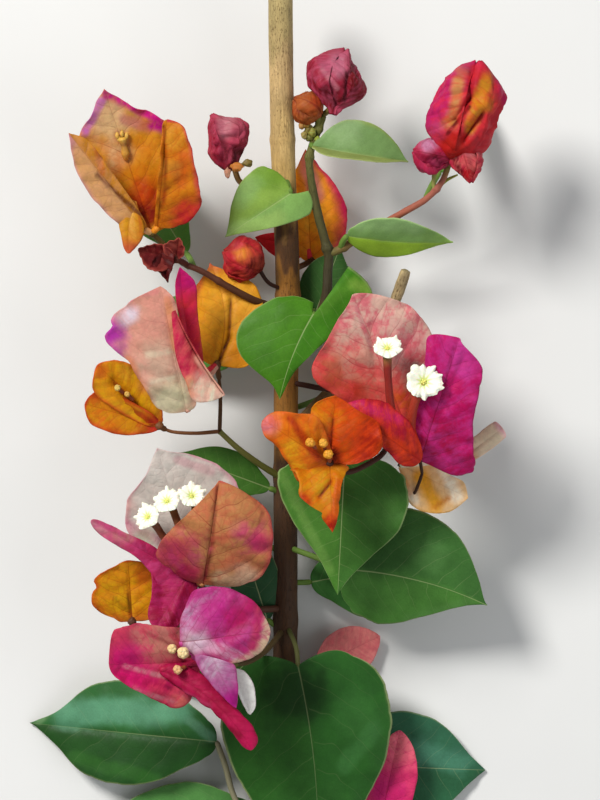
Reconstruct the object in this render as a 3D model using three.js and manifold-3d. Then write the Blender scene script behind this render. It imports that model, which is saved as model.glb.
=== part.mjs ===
// A cut flowering branch with papery bracts, laid flat: the stem runs along Y with its cut butt at -Y,
// and its show side faces up. Millimetres, +Z up, the lowest leaves and the butt touch Z = 0.
import * as THREE from "three";
import { mergeVertices } from "three/addons/utils/BufferGeometryUtils.js";
import Module from "manifold-3d";

const wasm = await Module();
wasm.setup();

// Driving dimensions
const BLADE = 1.0;          // thickness of a leaf or bract solid
const SEAT = 0.35;          // gap where a stalk meets what carries it
const LEAST_WIDTH = 0.5;    // half-width of a blade at its base and tip
const STEM_RADIUS = 3.3;
const STEM_BUTT_RADIUS = 3.7;
const STALK_RADIUS = 0.8;
const LOBE_SWELL = 0.12;    // how much a closed bloom's three lobes stand out, as a share of its radius
const KNOB_RADIUS = 1.6;    // the knob under a bloom where its bracts meet
const CLAW_RADIUS = 1.0;    // the narrow foot that joins a bract to its bloom
const BUTT = [-4, -135, 3.9];
const STEM_TOP = [-5.4, 114, 30];
const CENTRE = [9.8, 10.5, -0.41];   // moves the middle of the footprint to the origin
const WIDE_BRACT = 6.5;     // a bract with a half-width over this gets a row of facets at each of its widths
const NUDGE = 0.02;         // share of a blade stepped to each side of a place to find its slope there

// Colours
const BARK = "#8a6a40";
const DARK_BARK = "#4a3020";
const LEAF = "#3f7a33";
const PALE_LEAF = "#86b25c";
const ORANGE = "#d8791f";
const PEACH = "#dc9a7e";
const CORAL = "#d4604a";
const MAGENTA = "#bb1668";
const RED = "#a8242c";

const point = (p) => new THREE.Vector3(...p);
const both = (x) => (Array.isArray(x) ? x : [x, x]);
const rad = THREE.MathUtils.degToRad;
const NO_LIMB_DIRECTION = new THREE.Vector3(0.31, 0.17, 0.94);   // no limb starts out along this

// Smooth value through a row of numbers, at t from 0 to 1
function along(row, t) {
  const last = row.length - 1;
  const i = Math.min(Math.floor(t * last), last - 1);
  const f = t * last - i;
  const at = (k) => (k < 0 ? 2 * row[0] - row[1] : k > last ? 2 * row[last] - row[last - 1] : row[k]);
  const [p, q, r, s] = [at(i - 1), at(i), at(i + 1), at(i + 2)];
  return 0.5 * (2 * q + (r - p) * f + (2 * p - 5 * q + 4 * r - s) * f * f + (3 * q - p - 3 * r + s) * f ** 3);
}

// Middle surface of a leaf or bract. It runs from base to tip; left and right are its half-widths at
// four places, close together near the ends, so that round ends stay round. roll turns it about its
// midrib, bow and sway bend the midrib, curl and fold lift its two halves, lobe pulls its base corners back.
function bladeSurface(spec) {
  const base = point(spec.base);
  const axis = point(spec.tip).sub(base);
  const length = axis.length();
  const d = axis.normalize();
  const up = new THREE.Vector3(0, 0, 1);
  const flat = up.clone().addScaledVector(d, -up.dot(d)).normalize();
  const n = flat.clone().applyAxisAngle(d, rad(spec.roll ?? 0));
  const s = new THREE.Vector3().crossVectors(d, n);
  const { bow = 0, sway = 0 } = spec;
  const [curl, fold, lobe] = [both(spec.curl ?? 0), both(spec.fold ?? 0), both(spec.lobe ?? 0)];
  const rows = [spec.left, spec.right ?? spec.left];
  const rib = (u) => base.clone().addScaledVector(d, length * u)
    .addScaledVector(n, bow * 4 * u * (1 - u))
    .addScaledVector(s, sway * 4 * u * (1 - u));
  return (t, v) => {
    const u = (1 - Math.cos(Math.PI * t)) / 2;
    const ahead = rib(u + 0.001).sub(rib(u - 0.001)).normalize();
    const face = n.clone().addScaledVector(ahead, -n.dot(ahead)).normalize();
    const side = new THREE.Vector3().crossVectors(ahead, face);
    const k = v < 0 ? 0 : 1;
    const a = Math.abs(v);
    const width = Math.max(along([LEAST_WIDTH, ...rows[k], LEAST_WIDTH], t), LEAST_WIDTH);
    const bend = rad(curl[k]) || 1e-4;
    const x0 = width * Math.sin(bend * a) / bend;
    const z0 = width * (1 - Math.cos(bend * a)) / bend;
    const x = (x0 * Math.cos(rad(fold[k])) - z0 * Math.sin(rad(fold[k]))) * Math.sign(v);
    const z = x0 * Math.sin(rad(fold[k])) + z0 * Math.cos(rad(fold[k]));
    const back = lobe[k] * a ** 1.5 * (1 - u) ** 2.5;
    return rib(u).addScaledVector(side, x).addScaledVector(face, z).addScaledVector(ahead, -back);
  };
}

// Thin closed solid on both sides of a blade's middle surface
function blade(spec, across, steps) {
  const at = bladeSurface(spec);
  const geometry = new THREE.BoxGeometry(2, 1, 1, across, steps, 1);
  const place = geometry.attributes.position;
  const [p, q] = [new THREE.Vector3(), new THREE.Vector3()];
  for (let i = 0; i < place.count; i += 1) {
    const v = place.getX(i);
    const t = place.getY(i) + 0.5;
    p.subVectors(at(t, Math.min(v + 2 * NUDGE, 1)), at(t, Math.max(v - 2 * NUDGE, -1)));
    q.subVectors(at(Math.min(t + NUDGE, 1), v), at(Math.max(t - NUDGE, 0), v));
    const normal = p.cross(q).normalize();
    const spot = at(t, v).addScaledVector(normal, place.getZ(i) * BLADE);
    place.setXYZ(i, spot.x, spot.y, spot.z);
  }
  return solid(geometry);
}

// Tapering limb: a closed cylinder bent along a smooth curve
function limb(path, r0, r1, sides = 6, steps = 4, extra = 0) {
  const curve = new THREE.CatmullRomCurve3(path.map(point), false, "catmullrom", 0.5);
  const geometry = new THREE.CylinderGeometry(1, 1, 1, sides, steps, false);
  const place = geometry.attributes.position;
  const frames = [NO_LIMB_DIRECTION.clone().cross(curve.getTangent(0)).normalize()];
  for (let k = 1; k <= steps; k += 1) {
    const t = curve.getTangent(k / steps);
    frames.push(frames[k - 1].clone().addScaledVector(t, -frames[k - 1].dot(t)).normalize());
  }
  for (let i = 0; i < place.count; i += 1) {
    const k = Math.round((place.getY(i) + 0.5) * steps);
    const t = curve.getTangent(k / steps);
    const radius = THREE.MathUtils.lerp(r0, r1, k / steps) + extra;
    const other = new THREE.Vector3().crossVectors(frames[k], t);
    const spot = curve.getPoint(k / steps)
      .addScaledVector(frames[k], place.getX(i) * radius)
      .addScaledVector(other, place.getZ(i) * radius);
    place.setXYZ(i, spot.x, spot.y, spot.z);
  }
  return solid(geometry);
}

// Closed young bloom: an egg with three lobes from base to tip, fullest at the share belly of its length
function bud({ base, tip, radius, belly = 0.5 }, sides = 8, rings = 4) {
  const from = point(base);
  const axis = point(tip).sub(from);
  const d = axis.clone().normalize();
  const up = new THREE.Vector3(0, 0, 1);
  const n = up.addScaledVector(d, -up.dot(d)).normalize();
  const s = new THREE.Vector3().crossVectors(d, n);
  const geometry = new THREE.SphereGeometry(1, sides, rings);
  const place = geometry.attributes.position;
  for (let i = 0; i < place.count; i += 1) {
    const [x, y, z] = [place.getX(i), place.getY(i), place.getZ(i)];
    const swell = radius * (1 + LOBE_SWELL * Math.cos(3 * Math.atan2(z, x)));
    const share = 0.5 + y / 2 + (belly - 0.5) * (1 - y * y);
    const spot = from.clone().addScaledVector(axis, share)
      .addScaledVector(s, x * swell)
      .addScaledVector(n, z * swell);
    place.setXYZ(i, spot.x, spot.y, spot.z);
  }
  return solid(geometry);
}

// Closed geometry to exact solid and back
function solid(geometry) {
  geometry.deleteAttribute("normal");
  geometry.deleteAttribute("uv");
  const merged = mergeVertices(geometry, 1e-4);
  const vertProperties = new Float32Array(merged.attributes.position.array);
  const triVerts = new Uint32Array(merged.index.array);
  return new wasm.Manifold(new wasm.Mesh({ numProp: 3, vertProperties, triVerts }));
}

function mesh(name, body, colour, roughness) {
  const { vertProperties, triVerts } = body.getMesh();
  const geometry = new THREE.BufferGeometry();
  geometry.setAttribute("position", new THREE.BufferAttribute(new Float32Array(vertProperties), 3));
  geometry.setIndex(new THREE.BufferAttribute(new Uint32Array(triVerts), 1));
  const material = new THREE.MeshStandardMaterial({ color: colour, roughness, metalness: 0 });
  const result = new THREE.Mesh(geometry, material);
  result.name = name;
  return result;
}

// Half-widths of an even heart-shaped leaf and of an even oval leaf
const heart = (w) => [0.85 * w, w, 0.55 * w, 0.12 * w];
const oval = (w) => [0.45 * w, 0.96 * w, 0.86 * w, 0.24 * w];

// Wood: each limb's centre line, its radii at the two ends and its colour
const wood = {
  stem: {
    colour: BARK,
    limbs: [{
      path: [BUTT, [-4, -66, 11.2], [-3.8, 0, 18], [-3.3, 30, 21], [-4.7, 70, 25.3], STEM_TOP],
      radii: [STEM_BUTT_RADIUS, STEM_RADIUS], sides: 9, steps: 10,
    }],
  },
  shoot_right: {
    colour: DARK_BARK,
    limbs: [{
      path: [[-3, 13, 19], [4, 20, 23], [7, 28, 25], [7.5, 35, 25.5], [7.6, 40, 26], [5, 50, 27],
        [3, 60, 27.5], [2.6, 66, 27.5], [4.4, 72, 28], [6.4, 77, 28.6]],
      radii: [1.6, 1.0], steps: 12,
    }],
  },
  pruned_stub: {
    colour: BARK,
    limbs: [{
      path: [[-3, -9, 17], [9, 3, 20], [20, 13, 24], [25.5, 26, 27.5], [28.6, 35, 30]],
      radii: [1.7, 1.3], steps: 8,
    }],
  },
  twig_upper_left: {
    colour: DARK_BARK,
    limbs: [{
      path: [[-3.5, 24, 21], [-8, 25.5, 26], [-13, 27.3, 30], [-20, 31, 32.5], [-26, 34.5, 33.3],
        [-30.8, 36.6, 33]],
      radii: [1.1, 0.8],
    }],
  },
  twig_left: {
    colour: LEAF,
    limbs: [
      { path: [[-3.8, -22, 16], [-11, -17.5, 21], [-17, -13, 25], [-21.8, -8.5, 28]], radii: [0.95, 0.8] },
      { path: [[-21.8, -8.5, 28], [-21.6, -2, 29], [-21.6, 2, 29.5], [-22, 6, 30]], radii: [0.75, 0.7] },
      { path: [[-21.8, -8.5, 28], [-28, -9, 29], [-34, -8.7, 30], [-36.8, -7.8, 31]], radii: [0.75, 0.65] },
    ],
  },
  twig_upper_right: {
    colour: DARK_BARK,
    limbs: [{
      path: [[7.5, 39.5, 26], [11, 41, 26], [16, 44, 26.5], [22, 47.5, 28.5], [28, 50.8, 31], [34, 54.3, 33],
        [38, 58.5, 35], [40, 63, 37]],
      radii: [1.15, 0.9], steps: 9,
    }],
  },
  twig_lower_left: {
    colour: DARK_BARK,
    limbs: [{
      path: [[-4, -62, 12], [-9, -68, 21], [-13.5, -70.8, 28], [-17.5, -71.4, 34]],
      radii: [0.95, 0.8],
    }],
  },
  twig_middle_left: {
    colour: DARK_BARK,
    limbs: [
      { path: [[-4, -57, 12.5], [-14, -57, 20], [-21, -54.5, 27], [-25.5, -51.5, 32.5]], radii: [0.95, 0.8] },
      { path: [[-21, -54.5, 27], [-31, -60.5, 26], [-40, -63.5, 26], [-45, -62.2, 27]], radii: [0.75, 0.65] },
    ],
  },
  twig_right: {
    colour: DARK_BARK,
    limbs: [{
      path: [[-4, -34, 14.8], [10, -31, 21], [20, -28.5, 25.5], [27, -27, 29], [30.5, -25.7, 32],
        [32, -22.7, 34.5], [32.9, -20, 36.5]],
      radii: [1.0, 0.8], steps: 9,
    }],
  },
};

// Leaves: the blade, the path of its stalk to what carries it, and its colour
const leaves = {
  leaf_heart_upper: {
    base: [-2.5, 56, 29.2], tip: [-20.3, 44.2, 30], left: [7.8, 7, 4, 1.2], right: [10, 11.5, 8.6, 2.6],
    lobe: [5.5, 0], bow: 1, curl: [-8, -12], stalk: [[-3.4, 58.5, 27.6], [-4.2, 61, 25]], colour: PALE_LEAF,
  },
  leaf_top_right: {
    base: [3.5, 68.7, 30.2], tip: [29.3, 64.5, 31], left: [3.8, 9.2, 7.6, 2.3], right: [4.5, 8.5, 6, 1.5],
    fold: [0, 75], sway: 0.4, bow: 1.5, stalk: [[3.2, 69, 29], [3, 69.2, 27.8]], colour: PALE_LEAF,
  },
  leaf_right_slim: {
    base: [12.8, 44.6, 29.5], tip: [41.5, 42.8, 29], left: [6, 9.2, 7.2, 1.6], right: [5, 7, 4, 0.8],
    roll: 50, bow: 1, stalk: [[11.6, 43, 28], [11, 41.2, 26.2]], colour: PALE_LEAF,
  },
  leaf_heart_centre: {
    base: [3.5, 23, 42], tip: [-5.5, 0.3, 42], left: [12, 9, 3.2, 0.7], right: [11, 16.2, 14.6, 2.2],
    lobe: [17, 3], bow: 2, curl: [-12, -15], sway: 1, stalk: [[3.6, 24, 36], [1.5, 23, 28], [-3, 21, 20]],
    colour: LEAF,
  },
  leaf_dark_centre: {
    base: [12, -18, 35], tip: [10.2, -52.7, 32], left: [16.2, 17.9, 10, 2.2], right: [17.9, 16, 7.6, 2.1],
    lobe: 1.5, curl: 8, bow: 0.5, stalk: [[8.5, -15.5, 31], [3, -12.5, 24], [-3.6, -10, 17]], colour: LEAF,
  },
  leaf_dark_right: {
    base: [12, -46, 26], tip: [50.9, -55.8, 23], left: [14, 18, 15.6, 5], right: [14, 16.5, 11, 2],
    lobe: [0, 1], fold: [0, -32], bow: 0.5, sway: -2, stalk: [[6, -43.5, 22], [-3.9, -40, 14.2]],
    colour: LEAF,
  },
  leaf_lower_left: {
    base: [-22.8, -93.5, 14], tip: [-74.4, -89, 1.4], left: [7, 14.6, 14.5, 3.4], right: [7, 14.4, 12, 1.7],
    bow: 2, stalk: [[-20.5, -100, 12], [-18, -109, 9], [-12, -119, 6.5], [-4.5, -126, 5]], colour: LEAF,
  },
  leaf_lower_large: {
    base: [-0.5, -72.5, 22], tip: [4.6, -129.5, 9],
    left: [20, 22.6, 14.4, 4.8], right: [19, 24, 18.6, 6.3],
    lobe: 5, bow: 3, sway: -2, curl: -10, stalk: [[-1.2, -67, 19.5], [-4, -61, 12]], colour: LEAF,
  },
  leaf_bottom_left: {
    base: [-12, -114, 5.5], tip: [-59, -123, 1.8], left: oval(12), right: oval(13), lobe: 1, bow: 2,
    stalk: [[-8, -111, 5.6], [-4, -107, 6.8]], colour: LEAF, steps: 4,
  },
  leaf_bottom_right: {
    base: [9, -100, 4.5], tip: [51, -102, 1.3], left: oval(15.5), lobe: 1, bow: 2,
    stalk: [[3, -97, 6], [-4, -93, 8.4]], colour: LEAF,
  },
  leaf_behind_left: {
    base: [-8.5, -24, 18], tip: [-34, -14.5, 22], left: oval(6.5), right: oval(6.5), bow: 1,
    stalk: [[-6, -25, 16.5], [-3.9, -26, 15.4]], colour: LEAF, steps: 4,
  },
  leaf_behind_lower_left: {
    base: [-9, -60, 13], tip: [-17.5, -33, 17], left: oval(7), bow: 1,
    stalk: [[-6, -62.5, 12], [-4, -65, 11.4]], colour: LEAF, steps: 4,
  },
  leaf_behind_shoot: {
    base: [3.5, 22, 15], tip: [11, 42, 15], left: oval(7), bow: 1, stalk: [[0, 18, 17], [-3.6, 14, 19]],
    colour: LEAF, steps: 4,
  },
  leaf_back_1: {
    base: [-31, 40, 26], tip: [-50, 70, 0.85], left: oval(8.5), bow: 2,
    stalk: [[-29.8, 38.3, 29], [-28.7, 36, 32.6]], colour: LEAF, steps: 4,
  },
  leaf_back_2: {
    base: [38, 62, 26], tip: [47.5, 86, 0.85], left: oval(6), bow: 2,
    stalk: [[35.6, 58, 29], [34, 54.6, 32.2]], colour: LEAF, steps: 4,
  },
  leaf_back_3: {
    base: [7, 1, 12], tip: [44, 12, 3], left: oval(13.5), bow: 2, stalk: [[2, -1, 14.5], [-3.8, -3, 17.6]],
    colour: LEAF, steps: 4,
  },
  leaf_back_4: {
    base: [-10, 18, 15], tip: [-47, 19, 4], left: oval(11.5), bow: 2, stalk: [[-7, 18, 17], [-3.6, 18, 19.8]],
    colour: LEAF, steps: 4,
  },
  leaf_back_5: {
    base: [-9, -40, 11], tip: [-45, -34, 2], left: oval(13), bow: 2,
    stalk: [[-6, -41, 12.5], [-3.9, -42, 13.8]], colour: LEAF, steps: 4,
  },
  leaf_back_6: {
    base: [-10, -71, 7], tip: [-47, -69, 2], left: oval(10.5), bow: 1,
    stalk: [[-7, -71.5, 9], [-4, -72, 10.6]], colour: LEAF, steps: 4,
  },
  leaf_back_7: {
    base: [3, -50, 8], tip: [40, -43, 2], left: oval(13), bow: 2, stalk: [[0, -50, 10.5], [-3.9, -50, 13]],
    colour: LEAF, steps: 4,
  },
};

// Blooms: the bracts, which start at the bloom's base unless they say otherwise, and the bloom's stalk
const blooms = {
  bloom_top_left: {
    colour: ORANGE, base: [-40, 45, 36], stalk: [[-37.4, 42.5, 34], [-34.5, 39, 32], [-30.6, 36.4, 31.6]],
    bracts: [
      { tip: [-52.5, 83.3, 46], left: [7.5, 12, 13.4, 3.5], right: [10, 16, 13.6, 2.4], curl: 12, bow: -3 },
      { base: [-43, 46, 38], tip: [-61.8, 71.3, 51], left: [3.4, 5.3, 4.8, 1.6], right: [2, 2.2, 2.8, 2] },
      {
        base: [-37, 45.6, 38], tip: [-35.6, 75, 50], left: [1, 1, 1, 1],
        right: [7.4, 10.8, 9, 5.4], curl: [0, 15], bow: 3,
      },
      { base: [-40.5, 49.5, 39], tip: [-46.3, 40.3, 45], left: [3, 3.6, 3, 1.5], right: [3, 3.4, 2.6, 1] },
    ],
  },
  bloom_young_left: {
    colour: RED, base: [-33, 38, 36],
    stalk: [[-32, 37.4, 35], [-31, 36.8, 33.6]],
    bracts: [
      { tip: [-43.2, 40.5, 38], left: [2.6, 4, 3.5, 1.5], right: [2, 3, 2.6, 1.2], curl: 30 },
      { tip: [-35, 44.6, 39], left: [2.6, 3.8, 3.8, 1.6], right: [2.2, 3.6, 3.4, 1.4], curl: 30 },
      { tip: [-36.2, 32.4, 37], left: [1.5, 2.4, 2, 0.8], curl: 30 },
    ],
  },
  bloom_behind_stem: {
    colour: ORANGE, base: [3, 38, 12], stalk: [[0, 36.5, 14], [-3.4, 35, 21.5]],
    bracts: [
      { tip: [1.5, 68.5, 16], left: [5, 6.1, 5.3, 1.8], right: [7.2, 10.5, 8, 2.4], curl: 8 },
      { base: [2, 42, 11.5], tip: [-12.3, 44.5, 13], left: [3.5, 5, 3.6, 1.2], right: [2.2, 2.6, 2.2, 1] },
    ],
  },
  bloom_peach_left: {
    colour: PEACH, base: [-22.5, 9.5, 32], stalk: [[-22.3, 8, 31.2], [-22.05, 6.6, 30.3]],
    bracts: [
      {
        tip: [-24.5, 37.2, 27], left: [8, 11.8, 11, 3.4],
        right: [8.7, 10.3, 9.2, 1.6], sway: 3, lobe: 1, curl: [8, -10], bow: 0.5,
      },
      {
        base: [-27.5, 6, 37], tip: [-32.8, 35.6, 46], left: [1.6, 2.2, 2, 1.4],
        right: [1.6, 2.2, 3, 3.6], sway: -0.8,
      },
      {
        base: [-30.5, -3, 43], tip: [-37.3, 30.4, 50], left: [8, 11, 16.8, 8.5],
        right: [2.4, 1.2, 1, 1], curl: [10, 0], bow: 3,
      },
      { base: [-34.5, 19.5, 51], tip: [-20, 1.3, 46], left: [0.8, 0.8, 0.8, 0.8], right: [2.5, 6, 7.8, 6] },
    ],
  },
  bloom_small_left: {
    colour: ORANGE, base: [-38, -7, 32], stalk: [[-37.6, -7.3, 31.6], [-37.1, -7.6, 31.15]],
    bracts: [
      { tip: [-54.5, 9.5, 38], left: [1, 2.2, 4, 4.4], right: [3, 4.8, 6.3, 3], curl: 15 },
      { tip: [-58, 0, 36], left: [2, 3.6, 5.6, 5], right: [1.5, 2.5, 3.6, 3], curl: 15 },
    ],
  },
  bloom_coral_right: {
    colour: CORAL, knob: true, base: [32.3, -16.3, 40], stalk: [[32.6, -17.8, 38.7], [32.85, -19.3, 37.1]],
    bracts: [
      { tip: [14.3, 28.3, 46], left: [2.5, 9.5, 18.2, 6], right: [5, 11.5, 15.4, 8], curl: 6, bow: -2 },
      {
        tip: [42.5, 16.5, 53], left: [2.4, 5.3, 6, 7],
        right: [12.6, 10.6, 8.6, 4.4], lobe: [0, 3], curl: -6, bow: 3,
      },
      { tip: [11.2, -1.2, 49], left: [3.7, 3.2, 2.2, 0.8], right: [2.8, 6.6, 7.2, 2.6], curl: -15, bow: 3 },
    ],
  },
  bloom_orange_centre: {
    colour: ORANGE, knob: true, base: [8, -17, 52],
    stalk: [[12.5, -19.3, 49.5], [18, -17.3, 45.5], [22.4, -14.2, 41.5], [23.5, -10, 37],
      [19, -5, 33], [13.5, -0.8, 31], [10, 2.2, 28.5], [4, 3.5, 23.5], [-3.7, 5, 18.5]],
    bracts: [
      { tip: [-9.8, -5.3, 57], left: [5.9, 7.3, 4.2, 2], right: [3.4, 6.8, 7, 4.1], curl: 10, bow: 2 },
      { tip: [8.6, -35, 57], left: [4.8, 3.3, 2, 0.7], right: [7.8, 7.9, 6.4, 1], curl: 8, bow: 2 },
      { tip: [9.5, 1.2, 55], left: [3.6, 5.4, 6.4, 4.6], right: [10, 13, 11, 2.4], curl: 10 },
    ],
  },
  bloom_pale_right: {
    colour: PEACH, base: [27, -17.5, 33], stalk: [[28.2, -21.5, 31.6], [29.3, -25.2, 31.6]],
    bracts: [
      { tip: [45.5, -26.5, 31], left: [3, 3.8, 3.4, 2.8], right: [4, 8.6, 8, 4.8] },
      { base: [34, -20, 32.5], tip: [54.5, -7.5, 38], left: [1.5, 2, 2.6, 2], right: [1.5, 2, 2.6, 2] },
    ],
  },
  bloom_coral_left: {
    colour: CORAL, base: [-28, -49, 36], stalk: [[-27, -50, 34.6], [-25.8, -51.2, 32.9]],
    bracts: [
      {
        tip: [-38.4, -13, 42], left: [5.5, 12.2, 12, 2.4],
        right: [7.8, 16.5, 18.2, 8.3], curl: 6, bow: -3,
      },
      {
        base: [-26, -49.5, 40], tip: [-21.6, -21.6, 50], left: [9.6, 13, 7.6, 1.4],
        right: [14.2, 16.2, 16.3, 10.5], lobe: [0, 1], curl: [-8, -10], bow: 4,
      },
      { tip: [-56, -32.3, 46], left: [8, 4, 2.2, 1], right: [1.4, 1.7, 1.2, 0.6] },
      {
        base: [-29, -45.5, 38], tip: [-39, -61.4, 40], left: [3, 4, 4.4, 2.6],
        right: [8.6, 8.2, 4.6, 2.4],
      },
    ],
  },
  bloom_small_orange: {
    colour: ORANGE, base: [-45.5, -60, 29], stalk: [[-45.5, -61, 28], [-45.1, -62, 27.2]],
    bracts: [
      { tip: [-46.5, -43.4, 34], left: [7.2, 10.3, 10.4, 5.3], right: [6.1, 7.2, 7.4, 6.2], curl: 10 },
    ],
  },
  bloom_magenta_low: {
    colour: MAGENTA, knob: true, base: [-27, -70.5, 40], stalk: [[-22, -70.5, 38], [-17.9, -71.4, 34.6]],
    bracts: [
      { tip: [-51.2, -71, 45], left: [10.2, 11.7, 8.6, 4.4], right: [8.8, 10.2, 10.5, 7], curl: 8 },
      {
        base: [-32, -65, 44], tip: [-8, -61.7, 48], left: [11.9, 14, 12.6, 7.9],
        right: [3, 6.5, 7.5, 4.8], curl: -8, bow: 3,
      },
      {
        base: [-26, -58.5, 50.5], tip: [-15.8, -84, 48], left: [3, 3.6, 2, 1],
        right: [6.5, 5.5, 4.2, 2.2],
      },
      {
        base: [-35.5, -74, 46], tip: [-13.4, -94, 49], left: [3.8, 3.6, 2.6, 4.2],
        right: [1.6, 2.5, 0.8, 1], sway: -3,
      },
      {
        base: [-18.5, -72.5, 42], tip: [-12.7, -86, 42], left: [1.5, 2.7, 2.5, 1],
        right: [0.8, 0.8, 0.8, 0.6],
      },
    ],
  },
  bloom_bottom_right: {
    colour: MAGENTA, base: [21, -121, 9], stalk: [[14, -121, 8.5], [5, -120, 8], [-4, -117, 5.9]],
    bracts: [{ tip: [27.3, -90.5, 12.5], left: [4, 7, 7, 3], right: [4, 6.2, 7.5, 2.6], curl: 8 }],
  },
  bloom_back: {
    colour: MAGENTA, base: [5, -73, 7.5], stalk: [[2, -73.5, 8.5], [-4, -74, 10.4]],
    bracts: [
      { tip: [20, -66.5, 4], left: [4, 7, 7, 3.5], curl: -8 },
      { tip: [17, -84.5, 5], left: [3.5, 6, 6, 3], curl: -8 },
    ],
  },
};

// Closed young blooms: their eggs, and the stalk that carries them
const buds = {
  bud_left: {
    colour: MAGENTA, stalk: [[-17.9, 63, 27], [-16, 59, 25], [-10, 56.5, 24.5], [-4.1, 55, 23.8]],
    eggs: [{ base: [-18, 61.6, 26], tip: [-20.6, 77.6, 28], radius: 5.3 }],
  },
  bud_top: {
    colour: MAGENTA, stalk: [[8.9, 79.5, 32], [7.6, 78.3, 30.3], [6.7, 77.6, 29]],
    eggs: [{ base: [8.9, 77.7, 32], tip: [11.6, 95.2, 33], radius: 6.8, belly: 0.52 }],
  },
  bud_rust: {
    colour: RED, stalk: [[4.6, 77.6, 30], [4.9, 75.8, 29.2], [4.7, 73.5, 28.2]],
    eggs: [{ base: [5.2, 77.6, 30], tip: [-1.6, 82, 31], radius: 3.4 }],
  },
  bud_right: {
    colour: CORAL, stalk: [[41.4, 66.5, 38.5], [40.8, 64.8, 37.8], [40.3, 63.7, 37.3]],
    eggs: [
      { base: [41.5, 63.8, 38.5], tip: [48.6, 91.6, 43], radius: 8.8, belly: 0.56 },
      { base: [40.5, 66, 38.5], tip: [30.8, 66.8, 41], radius: 4 },
      { base: [42, 68, 39], tip: [46.5, 58.8, 42], radius: 4 },
    ],
  },
  bud_red: {
    colour: RED, stalk: [[-11.6, 36.4, 28], [-9, 32.3, 25.5], [-6.5, 30.8, 23.5], [-3.4, 30, 21]],
    eggs: [{ base: [-10.2, 36, 28], tip: [-20.4, 40.4, 30], radius: 4.8 }],
  },
};

const group = new THREE.Group();
const union = (pieces) => pieces.reduce((sum, piece) => sum.add(piece));
const swollen = [];

function limbs(spec, extra) {
  const tubes = spec.limbs.map(({ path, radii, sides, steps }) => limb(path, ...radii, sides, steps, extra));
  return union(tubes);
}

const clearOfWood = (body) => swollen.reduce((rest, wooden) => rest.subtract(wooden), body);

for (const [name, spec] of Object.entries(wood)) {
  const body = clearOfWood(limbs(spec, 0));
  group.add(mesh(name, body, spec.colour, 0.85));
  swollen.push(limbs(spec, SEAT));
}

for (const [name, spec] of Object.entries(leaves)) {
  const steps = Math.max(2, spec.stalk.length - 1);
  const stalk = limb([spec.base, ...spec.stalk], STALK_RADIUS, STALK_RADIUS, 4, steps);
  const body = clearOfWood(blade(spec, 2, spec.steps ?? 5).add(stalk));
  group.add(mesh(name, body, spec.colour, 0.5));
}

for (const [name, spec] of Object.entries(blooms)) {
  const bracts = spec.bracts.map((bract) => {
    const widest = Math.max(...bract.left, ...(bract.right ?? []));
    return blade({ base: spec.base, ...bract }, 2, widest > WIDE_BRACT ? 5 : 3);
  });
  const claws = spec.bracts.filter((bract) => bract.base)
    .map((bract) => limb([spec.base, bract.base], CLAW_RADIUS, CLAW_RADIUS, 4, 1));
  const steps = Math.max(2, spec.stalk.length - 1);
  const stalk = limb([spec.base, ...spec.stalk], STALK_RADIUS, STALK_RADIUS, 4, steps);
  const [x, y, z] = spec.base;
  const knob = { base: [x, y - KNOB_RADIUS, z], tip: [x, y + KNOB_RADIUS, z], radius: KNOB_RADIUS };
  const knobs = spec.knob ? [bud(knob, 6, 3)] : [];
  const body = clearOfWood(union([...bracts, ...claws, ...knobs, stalk]));
  group.add(mesh(name, body, spec.colour, 0.6));
}

for (const [name, spec] of Object.entries(buds)) {
  const steps = Math.max(2, spec.stalk.length - 1);
  const stalk = limb(spec.stalk, STALK_RADIUS, STALK_RADIUS, 4, steps);
  const body = clearOfWood(union([...spec.eggs.map((egg) => bud(egg)), stalk]));
  group.add(mesh(name, body, spec.colour, 0.6));
}

group.position.set(...CENTRE);

export default group;
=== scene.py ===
from types import SimpleNamespace

import bpy
import numpy as np
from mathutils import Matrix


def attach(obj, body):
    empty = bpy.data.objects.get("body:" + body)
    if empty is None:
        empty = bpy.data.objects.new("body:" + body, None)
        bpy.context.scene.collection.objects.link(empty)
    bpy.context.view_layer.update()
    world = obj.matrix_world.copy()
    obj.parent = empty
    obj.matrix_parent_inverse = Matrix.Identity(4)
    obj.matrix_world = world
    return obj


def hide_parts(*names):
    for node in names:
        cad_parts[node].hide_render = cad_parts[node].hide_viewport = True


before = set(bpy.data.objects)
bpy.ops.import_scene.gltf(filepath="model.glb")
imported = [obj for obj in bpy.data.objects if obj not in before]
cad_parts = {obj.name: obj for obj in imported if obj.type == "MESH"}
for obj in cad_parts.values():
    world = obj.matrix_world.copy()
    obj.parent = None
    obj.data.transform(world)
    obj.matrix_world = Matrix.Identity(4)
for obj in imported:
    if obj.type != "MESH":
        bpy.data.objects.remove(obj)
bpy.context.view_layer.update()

# Layout: millimetres, X to the right, Y up the stem, Z towards the camera. World is layout + CENTRE.
MM = 0.001
CENTRE = np.array([9.8, 10.5, -0.41])
UP = np.array([0.0, 0.0, 1.0])
STALK = 0.8             # radius of a leaf's or a bloom's stalk
NEAR = 1.2              # how far round a place Piece.top looks
GRAIN = 0.55            # size of a mesh cell on a blade
ROWS = 26, 96           # fewest and most cells along a blade, and across it
COLUMNS = 16, 72
POD_GRAIN = 0.35        # the same for the bracts of a closed bloom
POD_ROWS = 24, 72
POD_COLUMNS = 32, 80
CAP = 0.175             # how far the end of a smooth tube bulges, as a share of its radius
THIN = 0.6              # half-width of the thinnest stripe that a blade's cells can show
RUFFLE = 8.0            # from one wave of a blade's edge to the next
VEIN_GAP = 2.6          # least distance between the side veins of a blade
SLENDER = 0.12          # least half-width of a blade
TAPER = 0.035           # share of a blade's length over which its point narrows
SEEDS = 97              # how many seeds the materials tell apart
PETAL = 0.25            # how thick the lobes of an open flower are

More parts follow.
